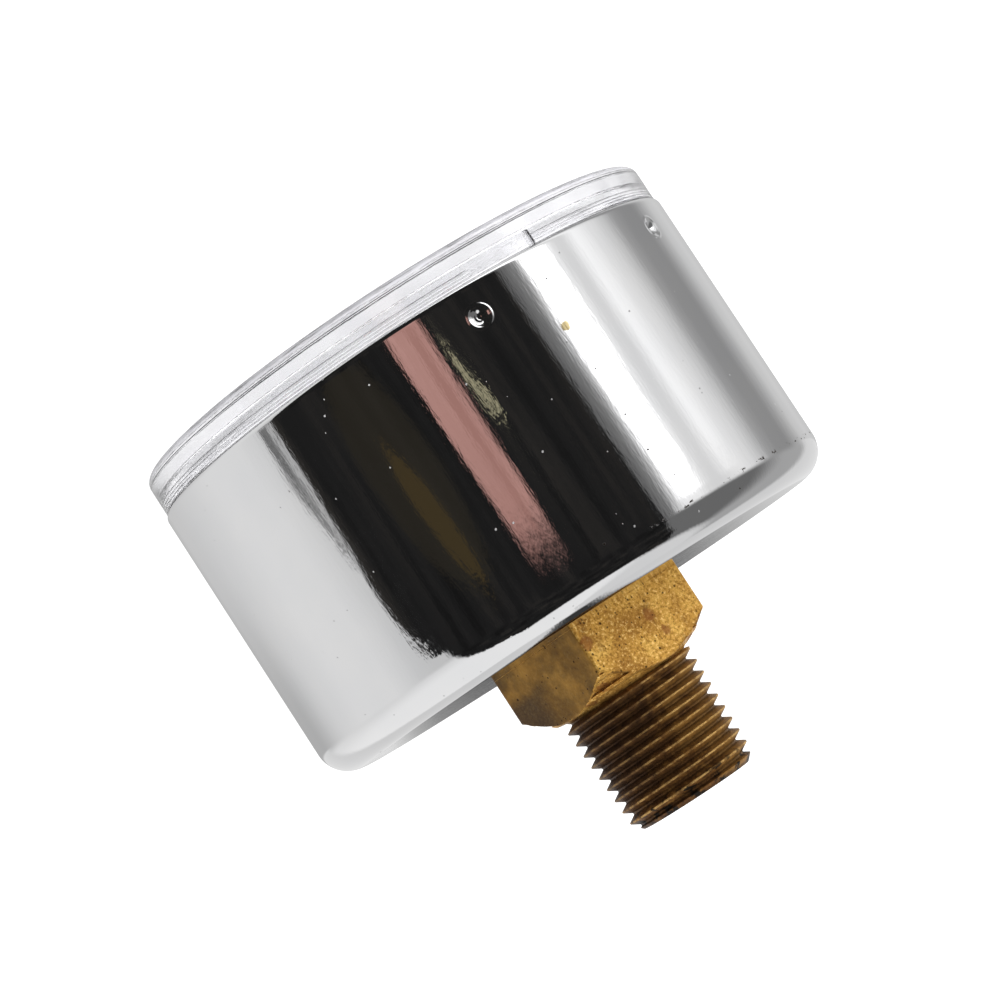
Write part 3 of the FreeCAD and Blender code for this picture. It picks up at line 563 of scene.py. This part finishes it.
def build_lens():
    er = 0.62
    rf = LENS_R - er
    crown, edge = -40.02, -39.10
    ci, ei = crown + 1.40, edge + 1.40
    front = [(r, dome(r, rf, crown, edge)) for r in np.linspace(0.02, rf, 44)]
    wall = joined(
        arc_pts(rf, edge + er, er, -90, 0, 14),
        [(LENS_R, -38.44), (LENS_R - 0.05, -38.40), (LENS_R - 0.05, -38.33), (LENS_R, -38.28)],
        line_pts((LENS_R, -38.24), (LENS_R, -37.52), 8),
        line_pts((LENS_R, -37.50), (LENS_R, -36.98), 8),
        [(LENS_R, -36.96), (LENS_R - 0.035, -36.93), (LENS_R - 0.035, -36.89), (LENS_R, -36.86)],
        [(LENS_R, -36.74), (LENS_R - 0.030, -36.71), (LENS_R - 0.030, -36.68), (LENS_R, -36.65)],
        [(LENS_R, -36.55), (LENS_R - 0.030, -36.52), (LENS_R - 0.030, -36.49), (LENS_R, -36.46)],
        [(LENS_R, -36.36), (LENS_R - 0.05, -36.30), (LENS_R - 0.06, -36.28)],
    )
    back = joined(
        line_pts((LENS_R - 0.06, Y_RIM), (19.95, Y_RIM), 4),
        [(19.95, -35.45), (19.42, -35.05), (19.42, -32.80), (19.80, -32.65), (19.80, -32.30),
         (18.75, -32.30)],
        line_pts((18.75, -32.30), (18.75, ei + 0.25), 8),
        arc_pts(18.50, ei + 0.25, 0.25, 0, -90, 5),
    )
    inner = [(r, dome(r, 18.75, ci, ei)) for r in np.linspace(18.50, 0.02, 40)]
    prof = joined(front, wall, back, inner)
    n_front = len(front)
    ns = 720
    w = np.linspace(0, 2 * np.pi, ns, endpoint=False)
    phi = np.degrees(-w) % 360.0
    pad = smooth((phi - 17.7) / 0.35) * smooth((31.35 - phi) / 0.2)
    rows, kinds = [], []
    for rho, y in prof:
        r = np.full(ns, float(rho))
        if rho > LENS_R - 0.07 and -37.51 < y < -36.31:
            r = r * (1 - pad) + (LENS_R + 0.045) * pad
        rows.append(ring_xyz(r, w, y))
        kinds.append(1 if rho > 18.6 else 0)
    ob = grid_mesh("lens_moulding", rows, wrap_rows=False, mats=[M_WINDOW, M_FLANGE],
                   mat_of_row=kinds, sharp=35)
    me = ob.data
    # close the two poles with small fans
    import bmesh
    bm = bmesh.new()
    bm.from_mesh(me)
    bm.verts.ensure_lookup_table()
    nv = len(bm.verts)
    first = [bm.verts[k] for k in range(ns)]
    lastr = [bm.verts[nv - ns + k] for k in range(ns)]
    f1 = bm.faces.new(list(reversed(first)))
    f2 = bm.faces.new(lastr)
    for f in (f1, f2):
        f.smooth = True
        f.material_index = 0
    bmesh.ops.recalc_face_normals(bm, faces=bm.faces)
    bm.to_mesh(me)
    bm.free()
    # pry slot at the end of the pad
    bm = bmesh.new()
    bmesh.ops.create_cube(bm, size=1.0)
    a = math.radians(31.6)
    for v in bm.verts:
        x, y, z = v.co
        v.co = (x * 0.50, (y + 0.5) * 1.56 - 37.34, (z + 0.5) * 1.5 + 20.05)
    bmesh.ops.bevel(bm, geom=[e for e in bm.edges], offset=0.06, segments=2, affect="EDGES")
    bmesh.ops.transform(bm, matrix=Matrix.Rotation(-a, 4, "Y"), verts=bm.verts)
    bmesh.ops.scale(bm, vec=(MM, MM, MM), verts=bm.verts)
    cm = bpy.data.meshes.new("slot_cutter")
    bm.to_mesh(cm)
    bm.free()
    cm.materials.append(M_WINDOW)
    cm.materials.append(M_FLANGE)
    cm.polygons.foreach_set("material_index", np.ones(len(cm.polygons), np.int32))
    cutter = bpy.data.objects.new("slot_cutter", cm)
    bpy.context.scene.collection.objects.link(cutter)
    mod = ob.modifiers.new("slot", "BOOLEAN")
    mod.operation = "DIFFERENCE"
    mod.solver = "EXACT"
    mod.object = cutter
    bpy.context.view_layer.update()
    dg = bpy.context.evaluated_depsgraph_get()
    made = bpy.data.meshes.new_from_object(ob.evaluated_get(dg))
    ob.modifiers.clear()
    ob.data = made
    bpy.data.objects.remove(cutter)
    made.set_sharp_from_angle(angle=math.radians(35))
    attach(ob, "housing")
    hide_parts("lens")
    return ob


# ------------------------------------------------------------------ stem
SQ, SQ_TURN = 10.90, 7.3
PITCH, DEPTH = 0.9407, 0.60


def hash_noise(w, y, scale, seed):
    """Smooth repeatable noise over the surface, in -1..1."""
    total = np.zeros_like(w)
    rng = np.random.default_rng(seed)
    for k in range(7):
        fw = rng.integers(1, 9) * (1 + k)
        fy = rng.uniform(0.4, 1.6) * (1 + k) / scale
        ph = rng.uniform(0, 2 * np.pi, 2)
        total += np.sin(fw * w + ph[0] + fy * y * 2.0) * np.cos(fy * y + ph[1]) / (1 + k * 0.7)
    return total / 3.0


def build_stem():
    # ring angles, with extra rings at the block's four corners
    corner = [math.radians(SQ_TURN + 90.0 * k) for k in range(4)]
    base = np.linspace(0, 2 * np.pi, 560, endpoint=False) + corner[0]
    extra = np.concatenate([[c - 0.012, c - 0.006, c + 0.006, c + 0.012] for c in corner])
    w = np.sort(np.unique(np.round(np.mod(np.concatenate([base, extra]), 2 * np.pi), 6)))
    # square radius with softly broken corners
    rel = np.mod(w - corner[0] + np.pi / 4, np.pi / 2) - np.pi / 4
    # rel is 0 at a corner, +-45 degrees at a flat's middle
    flat_angle = np.pi / 4 - np.abs(rel)
    sq = (SQ / 2) / np.cos(flat_angle)
    soft = 7.62
    sq = -np.log(np.exp(-sq * 26) + np.exp(-soft * 26)) / 26
    h = SQ / 2

    def thread_r(y):
        return 4.95 - y / 32.0

    def groove(wv, y):
        """0 on a crest, 1 at the bottom of the groove."""
        ph = (y - (-7.625) - PITCH * np.where(wv > np.pi, wv - 2 * np.pi, wv) / (2 * np.pi)) / PITCH
        d = np.abs(ph - np.round(ph)) * PITCH        # distance from the crest's centre
        t = np.clip((d - 0.055) / (PITCH / 2 - 0.055 - 0.06), 0, 1)
        return t

    def cone_r(y):
        return 5.227 + (7.60 - 5.227) * (y - (-8.87)) / (-10.70 + 8.87)

    rows = []

    def add(r, y):
        rows.append(ring_xyz(np.broadcast_to(r, w.shape).astype(float), w, y))

    # spigot and back face of the block
    add(1.20, -17.90)
    add(3.30, -17.90)
    add(3.50, -17.70)
    for y in np.linspace(-17.5, Y_BACK, 6):
        add(3.50, y)
    for t in (0.35, 0.7, 0.93):
        add(3.50 + (sq - 3.50) * t, Y_BACK)
    add(sq - 0.020, Y_BACK)
    add(sq - 0.012, Y_BACK)
    add(sq, Y_BACK + 0.012)
    add(sq, Y_BACK + 0.020)
    # flats, then the turned cone with thread run-out, then the thread
    ys = np.concatenate([np.linspace(-14.0, -11.0, 8)[:-1], np.arange(-11.0, -8.9, 0.035),
                         np.arange(-8.9, -0.005, 0.0425), [0.0]])
    for y in ys:
        if y < -8.87:
            c = cone_r(y)
            soft_k = 30.0
            c_arr = c + 0.10 * hash_noise(w, y, 1.1, 7)
            b = -np.log(np.exp(-(sq - 7) * soft_k) + np.exp(-(c_arr - 7) * soft_k)) / soft_k + 7
            on_cone = smooth((sq - c_arr + 0.02) / 0.12)
            run = 0.46 + 0.10 * smooth((y + 9.65) / 0.75)
            run = run * smooth((y + 10.72) / 0.16)
            g = groove(w, y)
            cut = run * smooth((g - 0.14) / 0.32) * on_cone
            add(b - cut, y)
        else:
            g = groove(w, y)
            tr = thread_r(y)
            wear = 0.022 * hash_noise(w, y, 1.0, 11) * (1 - g)
            r = tr - DEPTH * g - np.abs(wear)
            lim = 4.33 + (-y) * 1.0
            r = np.minimum(r, lim) if y > -1.3 else r
            add(r, y)
    add(2.12, 0.0)
    add(2.03, -0.03)
    add(2.00, -0.10)
    for y in np.linspace(-0.6, -5.5, 8):
        add(2.00, y)
    add(1.60, -5.5)
    add(1.20, -5.5)
    for y in np.linspace(-6.5, -17.0, 6):
        add(1.20, y)
    ob = grid_mesh("stem_brass", rows, mats=[M_STEM], sharp=32)
    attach(ob, "housing")
    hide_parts("stem")
    return ob


# ------------------------------------------------------------------ dial print
FACE_Y = -31.80
INK = 0.018


def flat_piece(name, polys, mat, thick=INK):
    """Thin printed shapes standing just proud of the dial, from outlines in (x, z) mm."""
    verts, faces = [], []
    for poly in polys:
        n = len(poly)
        base = len(verts)
        for x, z in poly:
            verts.append((x * MM, (FACE_Y - thick) * MM, z * MM))
        for x, z in poly:
            verts.append((x * MM, FACE_Y * MM, z * MM))
        faces.append([base + k for k in range(n)])
        faces.append([base + n + k for k in reversed(range(n))])
        for k in range(n):
            k2 = (k + 1) % n
            faces.append([base + k2, base + k, base + n + k, base + n + k2])
    me = bpy.data.meshes.new(name)
    me.from_pydata(verts, [], faces)
    import bmesh
    bm = bmesh.new()
    bm.from_mesh(me)
    bmesh.ops.recalc_face_normals(bm, faces=bm.faces)
    bm.to_mesh(me)
    bm.free()
    me.materials.append(mat)
    ob = bpy.data.objects.new(name, me)
    bpy.context.scene.collection.objects.link(ob)
    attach(ob, "housing")
    return ob


def polar(r, deg):
    a = math.radians(deg)
    return (r * math.cos(a), r * math.sin(a))


def tick(r0, r1, deg, w0, w1=None):
    w1 = w0 if w1 is None else w1
    a = math.radians(deg)
    c, s = math.cos(a), math.sin(a)
    return [(r0 * c + s * w0 / 2, r0 * s - c * w0 / 2), (r1 * c + s * w1 / 2, r1 * s - c * w1 / 2),
            (r1 * c - s * w1 / 2, r1 * s + c * w1 / 2), (r0 * c - s * w0 / 2, r0 * s + c * w0 / 2)]


def band(r0, r1, a0, a1, step=3.0):
    out = []
    n = max(1, int(round(abs(a1 - a0) / step)))
    for k in range(n):
        b0 = a0 + (a1 - a0) * k / n
        b1 = a0 + (a1 - a0) * (k + 1) / n
        out.append([polar(r0, b0), polar(r1, b0), polar(r1, b1), polar(r0, b1)])
    return out


def numerals(name, items, size, mat):
    """Numbers as thin solid lettering; items are (text, x, z)."""
    meshes = []
    for text, x, z in items:
        cu = bpy.data.curves.new(name, "FONT")
        cu.body = text
        cu.size = size * MM
        cu.align_x = "CENTER"
        cu.align_y = "CENTER"
        cu.extrude = INK * MM / 2
        cu.resolution_u = 6
        cu.offset = size * MM * 0.012
        ob = bpy.data.objects.new(name, cu)
        bpy.context.scene.collection.objects.link(ob)
        bpy.context.view_layer.update()
        me = bpy.data.meshes.new_from_object(ob.evaluated_get(bpy.context.evaluated_depsgraph_get()))
        bpy.data.objects.remove(ob)
        me.transform(Matrix.Translation((x * MM, (FACE_Y - INK / 2) * MM, z * MM)) @
                     Matrix.Rotation(math.radians(90), 4, "X"))
        meshes.append(me)
    import bmesh
    bm = bmesh.new()
    for me in meshes:
        bm.from_mesh(me)
        bpy.data.meshes.remove(me)
    bmesh.ops.remove_doubles(bm, verts=bm.verts, dist=1e-7)
    out = bpy.data.meshes.new(name)
    bm.to_mesh(out)
    bm.free()
    out.materials.clear()
    out.materials.append(mat)
    ob = bpy.data.objects.new(name, out)
    bpy.context.scene.collection.objects.link(ob)
    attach(ob, "housing")
    return ob


def build_dial_print():
    outer, inner = [], []
    full = 160.0
    for k in range(81):
        v = 2.0 * k
        deg = 225.0 - 270.0 * v / full
        if k % 10 == 0:
            outer.append(tick(15.05, 18.05, deg, 0.52))
        elif k % 5 == 0:
            outer.append(tick(16.10, 18.05, deg, 0.30))
        else:
            outer.append(tick(16.90, 18.05, deg, 0.15))
    outer += band(17.95, 18.15, 225.0, -45.0)
    psi_per_bar = 14.5038
    for k in range(0, 23):
        bar = 0.5 * k
        deg = 225.0 - 270.0 * bar * psi_per_bar / full
        if k % 4 == 0:
            inner.append(tick(9.35, 10.75, deg, 0.26))
        elif k % 2 == 0:
            inner.append(tick(9.80, 10.75, deg, 0.18))
        else:
            inner.append(tick(10.15, 10.75, deg, 0.12))
    inner += band(10.68, 10.80, 225.0, 225.0 - 270.0 * 11.0 * psi_per_bar / full)
    flat_piece("dial_scale_outer", outer, M_INK)
    flat_piece("dial_scale_inner", inner, M_RED)
    items = []
    for k in range(9):
        deg = 225.0 - 270.0 * k / 8.0
        x, z = polar(12.85, deg)
        items.append((str(20 * k), x, z))
    items.append(("psi", 0.0, -6.4))
    numerals("dial_numerals_outer", items, 2.75, M_INK)
    items = []
    for k in (0, 4, 6, 8, 10):      # the dial screw stands where the 2 would be
        deg = 225.0 - 270.0 * k * psi_per_bar / full
        x, z = polar(8.15, deg)
        items.append((str(k), x, z))
    items.append(("bar", 0.0, -9.0))
    numerals("dial_numerals_inner", items, 1.75, M_RED)


def build_tube():
    """The Bourdon tube, built as one fixed curved tube of flat oval section; in the real gauge its free end moves with
    the pressure.
    """
    r0, y0, half, h = 15.0, -22.0, 1.75, 0.75
    section = [(h, y) for y in np.linspace(-half, half, 8)]
    section += [(h * math.cos(a), half + h * math.sin(a)) for a in np.linspace(0, math.pi, 11)[1:-1]]
    section += [(-h, y) for y in np.linspace(half, -half, 8)]
    section += [(-h * math.cos(a), -half - h * math.sin(a)) for a in np.linspace(0, math.pi, 11)[1:-1]]
    n = len(section)
    verts, faces = [], []
    angles = np.radians(np.linspace(274.0, 2.0, 150))
    for a in angles:
        for dr, dy in section:
            verts.append(((r0 + dr) * math.cos(a) * MM, (y0 + dy) * MM, (r0 + dr) * math.sin(a) * MM))
    for i in range(len(angles) - 1):
        for k in range(n):
            k2 = (k + 1) % n
            faces.append([i * n + k, i * n + k2, (i + 1) * n + k2, (i + 1) * n + k])
    faces.append(list(reversed(range(n))))
    last = (len(angles) - 1) * n
    faces.append([last + k for k in range(n)])
    me = bpy.data.meshes.new("bourdon_tube_bent")
    me.from_pydata(verts, [], faces)
    import bmesh
    bm = bmesh.new()
    bm.from_mesh(me)
    bmesh.ops.recalc_face_normals(bm, faces=bm.faces)
    for f in bm.faces:
        f.smooth = len(f.verts) == 4
    bm.to_mesh(me)
    bm.free()
    me.materials.append(M_TUBE)
    ob = bpy.data.objects.new("bourdon_tube_bent", me)
    bpy.context.scene.collection.objects.link(ob)
    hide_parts("bourdon_tube")
    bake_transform(ob)
    return ob


build_case()
build_lens()
build_tube()
build_stem()
build_dial_print()


# ------------------------------------------------------------------ stage
def plane(name, corners, mat, only_gloss=False):
    me = bpy.data.meshes.new(name)
    me.from_pydata([tuple(c * MM for c in p) for p in corners], [], [list(range(len(corners)))])
    me.materials.append(mat)
    ob = bpy.data.objects.new(name, me)
    bpy.context.scene.collection.objects.link(ob)
    if only_gloss:
        ob.visible_camera = False
        ob.visible_diffuse = False
        ob.visible_shadow = False
        ob.visible_transmission = False
        ob.visible_volume_scatter = False
    return ob


def emitter(name, color, strength=1.0, noisy=None):
    m = bpy.data.materials.new(name)
    m.use_nodes = True
    t = m.node_tree
    t.nodes.clear()
    o = t.nodes.new("ShaderNodeOutputMaterial")
    e = t.nodes.new("ShaderNodeEmission")
    e.inputs["Color"].default_value = (*color, 1.0)
    e.inputs["Strength"].default_value = strength
    t.links.new(e.outputs[0], o.inputs[0])
    if noisy:
        tc = t.nodes.new("ShaderNodeTexCoord")
        mp = t.nodes.new("ShaderNodeMapping")
        mp.inputs["Scale"].default_value = noisy[1]
        nz = t.nodes.new("ShaderNodeTexNoise")
        nz.inputs["Scale"].default_value = 1.0
        nz.inputs["Detail"].default_value = 3.0
        rp = t.nodes.new("ShaderNodeValToRGB")
        rp.color_ramp.elements[0].position = 0.40
        rp.color_ramp.elements[0].color = (*color, 1.0)
        rp.color_ramp.elements[1].position = 0.66
        rp.color_ramp.elements[1].color = (*noisy[0], 1.0)
        t.links.new(tc.outputs["Object"], mp.inputs["Vector"])
        t.links.new(mp.outputs[0], nz.inputs["Vector"])
        t.links.new(nz.outputs["Fac"], rp.inputs["Fac"])
        t.links.new(rp.outputs["Color"], e.inputs["Color"])
    return m


FLOOR_Z = cad_lo.z / MM
floor_mat = bpy.data.materials.new("studio_floor")
floor_mat.use_nodes = True
ft = floor_mat.node_tree
fb = next(n for n in ft.nodes if n.type == "BSDF_PRINCIPLED")
fb.inputs["Base Color"].default_value = (0.35, 0.35, 0.35, 1)
fb.inputs["Roughness"].default_value = 0.9
fb.inputs["Specular IOR Level"].default_value = 0.0
fb.inputs["Emission Color"].default_value = (1, 1, 1, 1)
fb.inputs["Emission Strength"].default_value = 0.88
floor = plane("floor", [(-1500, -1500, FLOOR_Z), (1500, -1500, FLOOR_Z), (1500, 1500, FLOOR_Z),
                        (-1500, 1500, FLOOR_Z)], floor_mat)
floor.visible_glossy = False


def lin(v):
    v = v / 255.0
    return v / 12.92 if v <= 0.04045 else ((v + 0.055) / 1.055) ** 2.4


def seen(rgb, angle=0.0):
    """Brightness the surroundings need for plated steel to show this tone."""
    if isinstance(rgb, (int, float)):
        rgb = (rgb, rgb, rgb)
    c = math.cos(math.radians(abs(angle) / 2.0))
    f = 0.69 + 0.31 * (1 - c) ** 5
    return tuple(lin(v) / f for v in rgb)


class Sky(Mat):
    """The surroundings of the light tent, by direction."""

    def __init__(self):
        self.m = bpy.data.worlds.new("studio")
        self.m.use_nodes = True
        self.t = self.m.node_tree
        self._xyz = None

    def coords(self):
        if self._xyz is None:
            self._xyz = self.node("ShaderNodeTexCoord").outputs["Generated"]
        return self._xyz


def build_sky():
    k = Sky()
    bpy.context.scene.world = k.m
    bg = next(n for n in k.t.nodes if n.type == "BACKGROUND")
    xyz = k.split()
    dx, dy, dz = xyz[0], xyz[1], xyz[2]
    alpha = k.math("MULTIPLY", k.math("ARCTAN2", k.math("MULTIPLY", dx, -1.0), dz), 180.0 / math.pi)
    turn = k.math("MULTIPLY_ADD", alpha, 1.0 / 360.0, 0.5)
    # tone of the surroundings round the long axis, -180..180 degrees from overhead
    tones = [(-180, 168), (-155, 192), (-144, 194), (-130, 201), (-118, 206), (-104, 213), (-97, 214),
             (-80, 212), (-72, 205), (-66, 196), (-58, 190), (-40, 190), (46, 90), (49, 100), (52, 118),
             (54.5, 170), (57, 238), (60, 262), (67, 262), (70, 240), (74, 214), (78, 210), (81, 226),
             (84.5, 246), (88, 240), (93, 223), (99, 210), (105, 186), (110, 152), (117, 138), (127, 136),
             (131, 150), (136, 168), (143, 192), (153, 200), (180, 186)]
    # colour ramps hold 32 stops, so the tones are split between two
    first = [((a + 180) / 360.0, seen(v, a)) for a, v in tones if a <= 60]
    second = [((a + 180) / 360.0, seen(v, a)) for a, v in tones if a >= 57]
    wall = k.mix(k.math("GREATER_THAN", turn, (58.0 + 180) / 360.0), k.ramp(turn, first), k.ramp(turn, second))
    # the window is far brighter than the plating can show
    window = k.math("MULTIPLY", k.span(alpha, 55.5, 59.5), k.span(alpha, 70.5, 66.5))
    window = k.math("MULTIPLY", window, k.span(dy, 0.02, -0.10, 0.0, 1.0))
    wall = k.mix(window, wall, (3.2, 3.2, 3.25))
    # the strips fade towards the rear
    rear = k.span(dy, -0.055, -0.025)
    strips = k.math("MULTIPLY", k.span(alpha, 52.0, 58.0), k.span(alpha, 96.0, 84.0))
    wall = k.mix(k.math("MULTIPLY", k.math("MULTIPLY", strips, rear), 0.75), wall, seen(208, 70))
    # the floor close under the case is shaded towards the rear
    low = k.math("MULTIPLY", k.span(alpha, -118.0, -150.0), k.span(dy, -0.105, -0.035))
    wall = k.mix(k.math("MULTIPLY", low, 0.60), wall, seen(150, 150))
    # behind the rear corner
    rear_l = k.mix(k.span(dy, 0.0, 0.55), seen(208, 60), seen(226, 60))
    rear_r = seen(100, 80)
    side = k.mix(k.span(alpha, 95.0, 122.0), rear_r, seen(158, 115))
    behind = k.mix(k.span(alpha, 44.0, 50.0), rear_l, side)
    wall = k.mix(k.span(dy, -0.02, 0.16), wall, behind)
    # dark ceiling
    wob = k.math("MULTIPLY", k.math("SUBTRACT", k.noise_dir(9.0, 3.0), 0.5), 2.4)
    a2 = k.math("ADD", alpha, wob)
    pos = k.math("MULTIPLY_ADD", dy, 1.0 / 1.13, 0.13 / 1.13)

    def edge(points):
        return k.math("MULTIPLY_ADD",
                      k.gray(k.ramp(pos, [((ry + 0.13) / 1.13, (al + 180) / 360.0) for ry, al in points])),
                      360.0, -180.0)
    left = edge([(-0.125, -60.5), (-0.090, -61.0), (-0.078, -62.2), (-0.065, -62.8), (-0.056, -62.4),
                 (-0.050, -61.5), (-0.045, -60.0), (-0.040, -56.5), (-0.034, -51.0), (0.05, -48.5), (0.37, -47.0),
                 (0.62, -42.0), (0.80, -30.0)])
    right = edge([(-0.125, 46.5), (-0.04, 47.5), (0.43, 50.0), (0.56, 54.0), (0.77, 62.0), (0.9, 70.0)])
    m = k.math("MULTIPLY", k.near(k.math("SUBTRACT", a2, left), -1.1, 1.1),
               k.near(k.math("SUBTRACT", right, a2), -1.4, 1.4))
    m = k.math("MULTIPLY", m, k.span(dy, 0.86, 0.80))
    m = k.math("MULTIPLY", m, k.math("GREATER_THAN", dz, 0.0))

    dark = k.ramp(k.noise_dir(5.0, 4.0, (1.0, 0.3, 1.0)), [(0.32, seen(19)), (0.52, seen(28)), (0.72, seen((42, 40, 38)))])
    olive = k.blob(alpha, dy, -26, -0.095, 14, 0.045, 20.0)
    dark = k.mix(k.math("MULTIPLY", olive, 0.75), dark, seen((41, 38, 32)))
    fold = k.blob(alpha, dy, -25.0, -0.078, 4.2, 0.026, 60.0)
    dark = k.mix(k.math("MULTIPLY", fold, 0.85), dark, seen((62, 52, 33)))
    # plain bands with ragged edges: each has a left and a right edge, by slope along the axis
    row = k.span(dy, -0.130, -0.030, 0.0, 1.0)
    rag = k.math("MULTIPLY", k.math("SUBTRACT", k.noise_dir(1.3, 3.0, (1.0, 0.5, 1.0)), 0.5), 3.2)
    a3 = k.math("ADD", alpha, rag)

    def strip(lefts, rights, top, bottom, soft=0.7, soft_y=0.0015):
        def limit(points):
            return k.math("MULTIPLY_ADD",
                          k.gray(k.ramp(row, [((v + 0.130) / 0.100, (al + 90) / 180.0) for v, al in points])),
                          180.0, -90.0)
        inside = k.math("MULTIPLY", k.near(k.math("SUBTRACT", a3, limit(lefts)), -soft, soft),
                        k.near(k.math("SUBTRACT", limit(rights), a3), -soft, soft))
        tall = k.math("MULTIPLY", k.span(dy, top - soft_y, top + soft_y), k.span(dy, bottom + soft_y, bottom - soft_y))
        return k.math("MULTIPLY", inside, tall)

    rose = k.ramp(k.noise_dir(4.0, 3.0, (1.0, 0.4, 1.0)), [(0.35, seen((158, 116, 108))), (0.65, seen((181, 139, 131)))])
    main = strip([(-0.125, -4.5), (-0.035, -4.5)], [(-0.125, 9.5), (-0.035, 9.5)], -0.300, -0.055, 0.9, 0.012)
    dark = k.mix(k.math("MULTIPLY", main, 0.96), dark, rose)
    moss = strip([(-0.119, 12.0), (-0.105, 13.3), (-0.096, 16.0)], [(-0.119, 14.0), (-0.112, 17.4), (-0.100, 18.0),
                                                                    (-0.096, 17.0)], -0.119, -0.096)
    moss = k.math("MULTIPLY", moss, k.span(k.noise_dir(1.4, 3.0, (1.0, 0.35, 1.0)), 0.36, 0.48))
    dark = k.mix(k.math("MULTIPLY", moss, 0.9), dark, seen((160, 154, 126)))
    # ragged half tone along the ceiling's left edge
    frayed = strip([(-0.125, -68.5), (-0.105, -67.5), (-0.090, -65.5), (-0.078, -62.5)],
                   [(-0.125, -58.0), (-0.078, -58.0)], -0.300, -0.080, 1.2, 0.004)
    mott = k.ramp(k.noise_dir(1.5, 3.0, (1.0, 0.3, 1.0)), [(0.36, seen(84)), (0.60, seen(166))])
    wall = k.mix(k.math("MULTIPLY", frayed, 0.92), wall, mott)
    col = k.mix(m, wall, dark)
    # floor and low wall behind the gauge
    horizon = k.math("MULTIPLY", k.span(dy, 0.80, 0.88), 1.0)
    col = k.mix(horizon, col, k.mix(k.span(alpha, 20.0, 60.0), seen(226), seen(204)))
    under = k.math("MULTIPLY", k.span(dz, -0.20, -0.34), k.span(dy, 0.0, 0.03))
    under = k.math("MULTIPLY", under, k.span(k.math("ABSOLUTE", alpha), 137.0, 147.0))
    leftish = k.span(dx, -0.10, -0.02)
    shade = k.ramp(k.math("ADD", k.span(dx, 0.0, 0.10), k.math("MULTIPLY", k.math("SUBTRACT", k.noise_dir(1.6, 3.0), 0.5), 0.16)),
                   [(0.12, seen(52)), (0.35, seen(76)), (0.55, seen(106)), (0.68, seen(146)), (0.80, seen(198))])
    col = k.mix(under, col, k.mix(leftish, seen(200), shade))
    path = k.node("ShaderNodeLightPath")
    col = k.mix(path.outputs["Is Glossy Ray"], (1.0, 1.0, 1.0), col)
    k.link(col, bg.inputs["Color"])
    bg.inputs["Strength"].default_value = 1.0


def _noise_dir(self, size_deg, detail=3.0, stretch=(1, 1, 1)):
    n = self.node("ShaderNodeTexNoise")
    n.inputs["Scale"].default_value = 57.3 / size_deg
    n.inputs["Detail"].default_value = detail
    self.link(self.mapped(stretch), n.inputs["Vector"])
    return n.outputs["Fac"]


def _gray(self, col):
    n = self.node("ShaderNodeSeparateColor")
    self.link(col, n.inputs[0])
    return n.outputs[0]


def _blob(self, alpha, dy, ca, cy, wa, wy, slope):
    """Soft patch centred on an angle and a slope along the axis."""
    yy = self.math("SUBTRACT", dy, cy)
    aa = self.math("SUBTRACT", self.math("SUBTRACT", alpha, ca), self.math("MULTIPLY", yy, slope))
    p = self.math("MULTIPLY", aa, 1.0 / wa)
    q = self.math("MULTIPLY", yy, 1.0 / wy)
    return self.near(self.math("ADD", self.math("MULTIPLY", p, p), self.math("MULTIPLY", q, q)), 1.20, 0.70)


def _near(self, value, lo, hi):
    return self.span(value, lo, hi)


Sky.noise_dir, Sky.gray, Sky.blob, Sky.near = _noise_dir, _gray, _blob, _near
build_sky()


def area(name, loc, target, size, power, shape="SQUARE", size_y=None):
    li = bpy.data.lights.new(name, "AREA")
    li.energy = power
    li.shape = "RECTANGLE" if size_y else shape
    li.size = size
    if size_y:
        li.size_y = size_y
    ob = bpy.data.objects.new(name, li)
    bpy.context.scene.collection.objects.link(ob)
    ob.location = loc
    d = Vector(target) - Vector(loc)
    ob.rotation_euler = d.to_track_quat("-Z", "Y").to_euler()
    return ob


key = area("key_soft", (-0.42, 0.16, 0.36), (0.0, -0.012, 0.0), 0.30, 3.9)
key.visible_glossy = False
key.visible_transmission = False
key.visible_camera = False


# ------------------------------------------------------------------ camera
D = 222.75
TILT = 0.071
TURN = math.radians(33.15)
look = Vector((0.164, -24.65, 0.0))
view_y = Vector((0.0, math.cos(TILT), -math.sin(TILT)))
back = Vector((0.0, math.sin(TILT), math.cos(TILT)))
u_dir = Vector((-1.0, 0.0, 0.0))
right = u_dir * math.cos(TURN) + view_y * math.sin(TURN)
down = u_dir * -math.sin(TURN) + view_y * math.cos(TURN)
look = look - right * 0.092 - down * 0.026
cam = bpy.data.cameras.new("camera")
cam.sensor_width = 36.0
cam.sensor_fit = "HORIZONTAL"
cam.lens = 36.0 * 3175.5 / 1000.0
cam.clip_start = 0.01
cam.clip_end = 10.0
cam.dof.use_dof = False
cam_ob = bpy.data.objects.new("camera", cam)
bpy.context.scene.collection.objects.link(cam_ob)
loc = (look + back * D) * MM
rot = Matrix((right, -down, back)).transposed()
cam_ob.matrix_world = Matrix.Translation(loc) @ rot.to_4x4()
bpy.context.scene.camera = cam_ob

bpy.context.scene.view_settings.view_transform = "Standard"
bpy.context.scene.view_settings.look = "None"
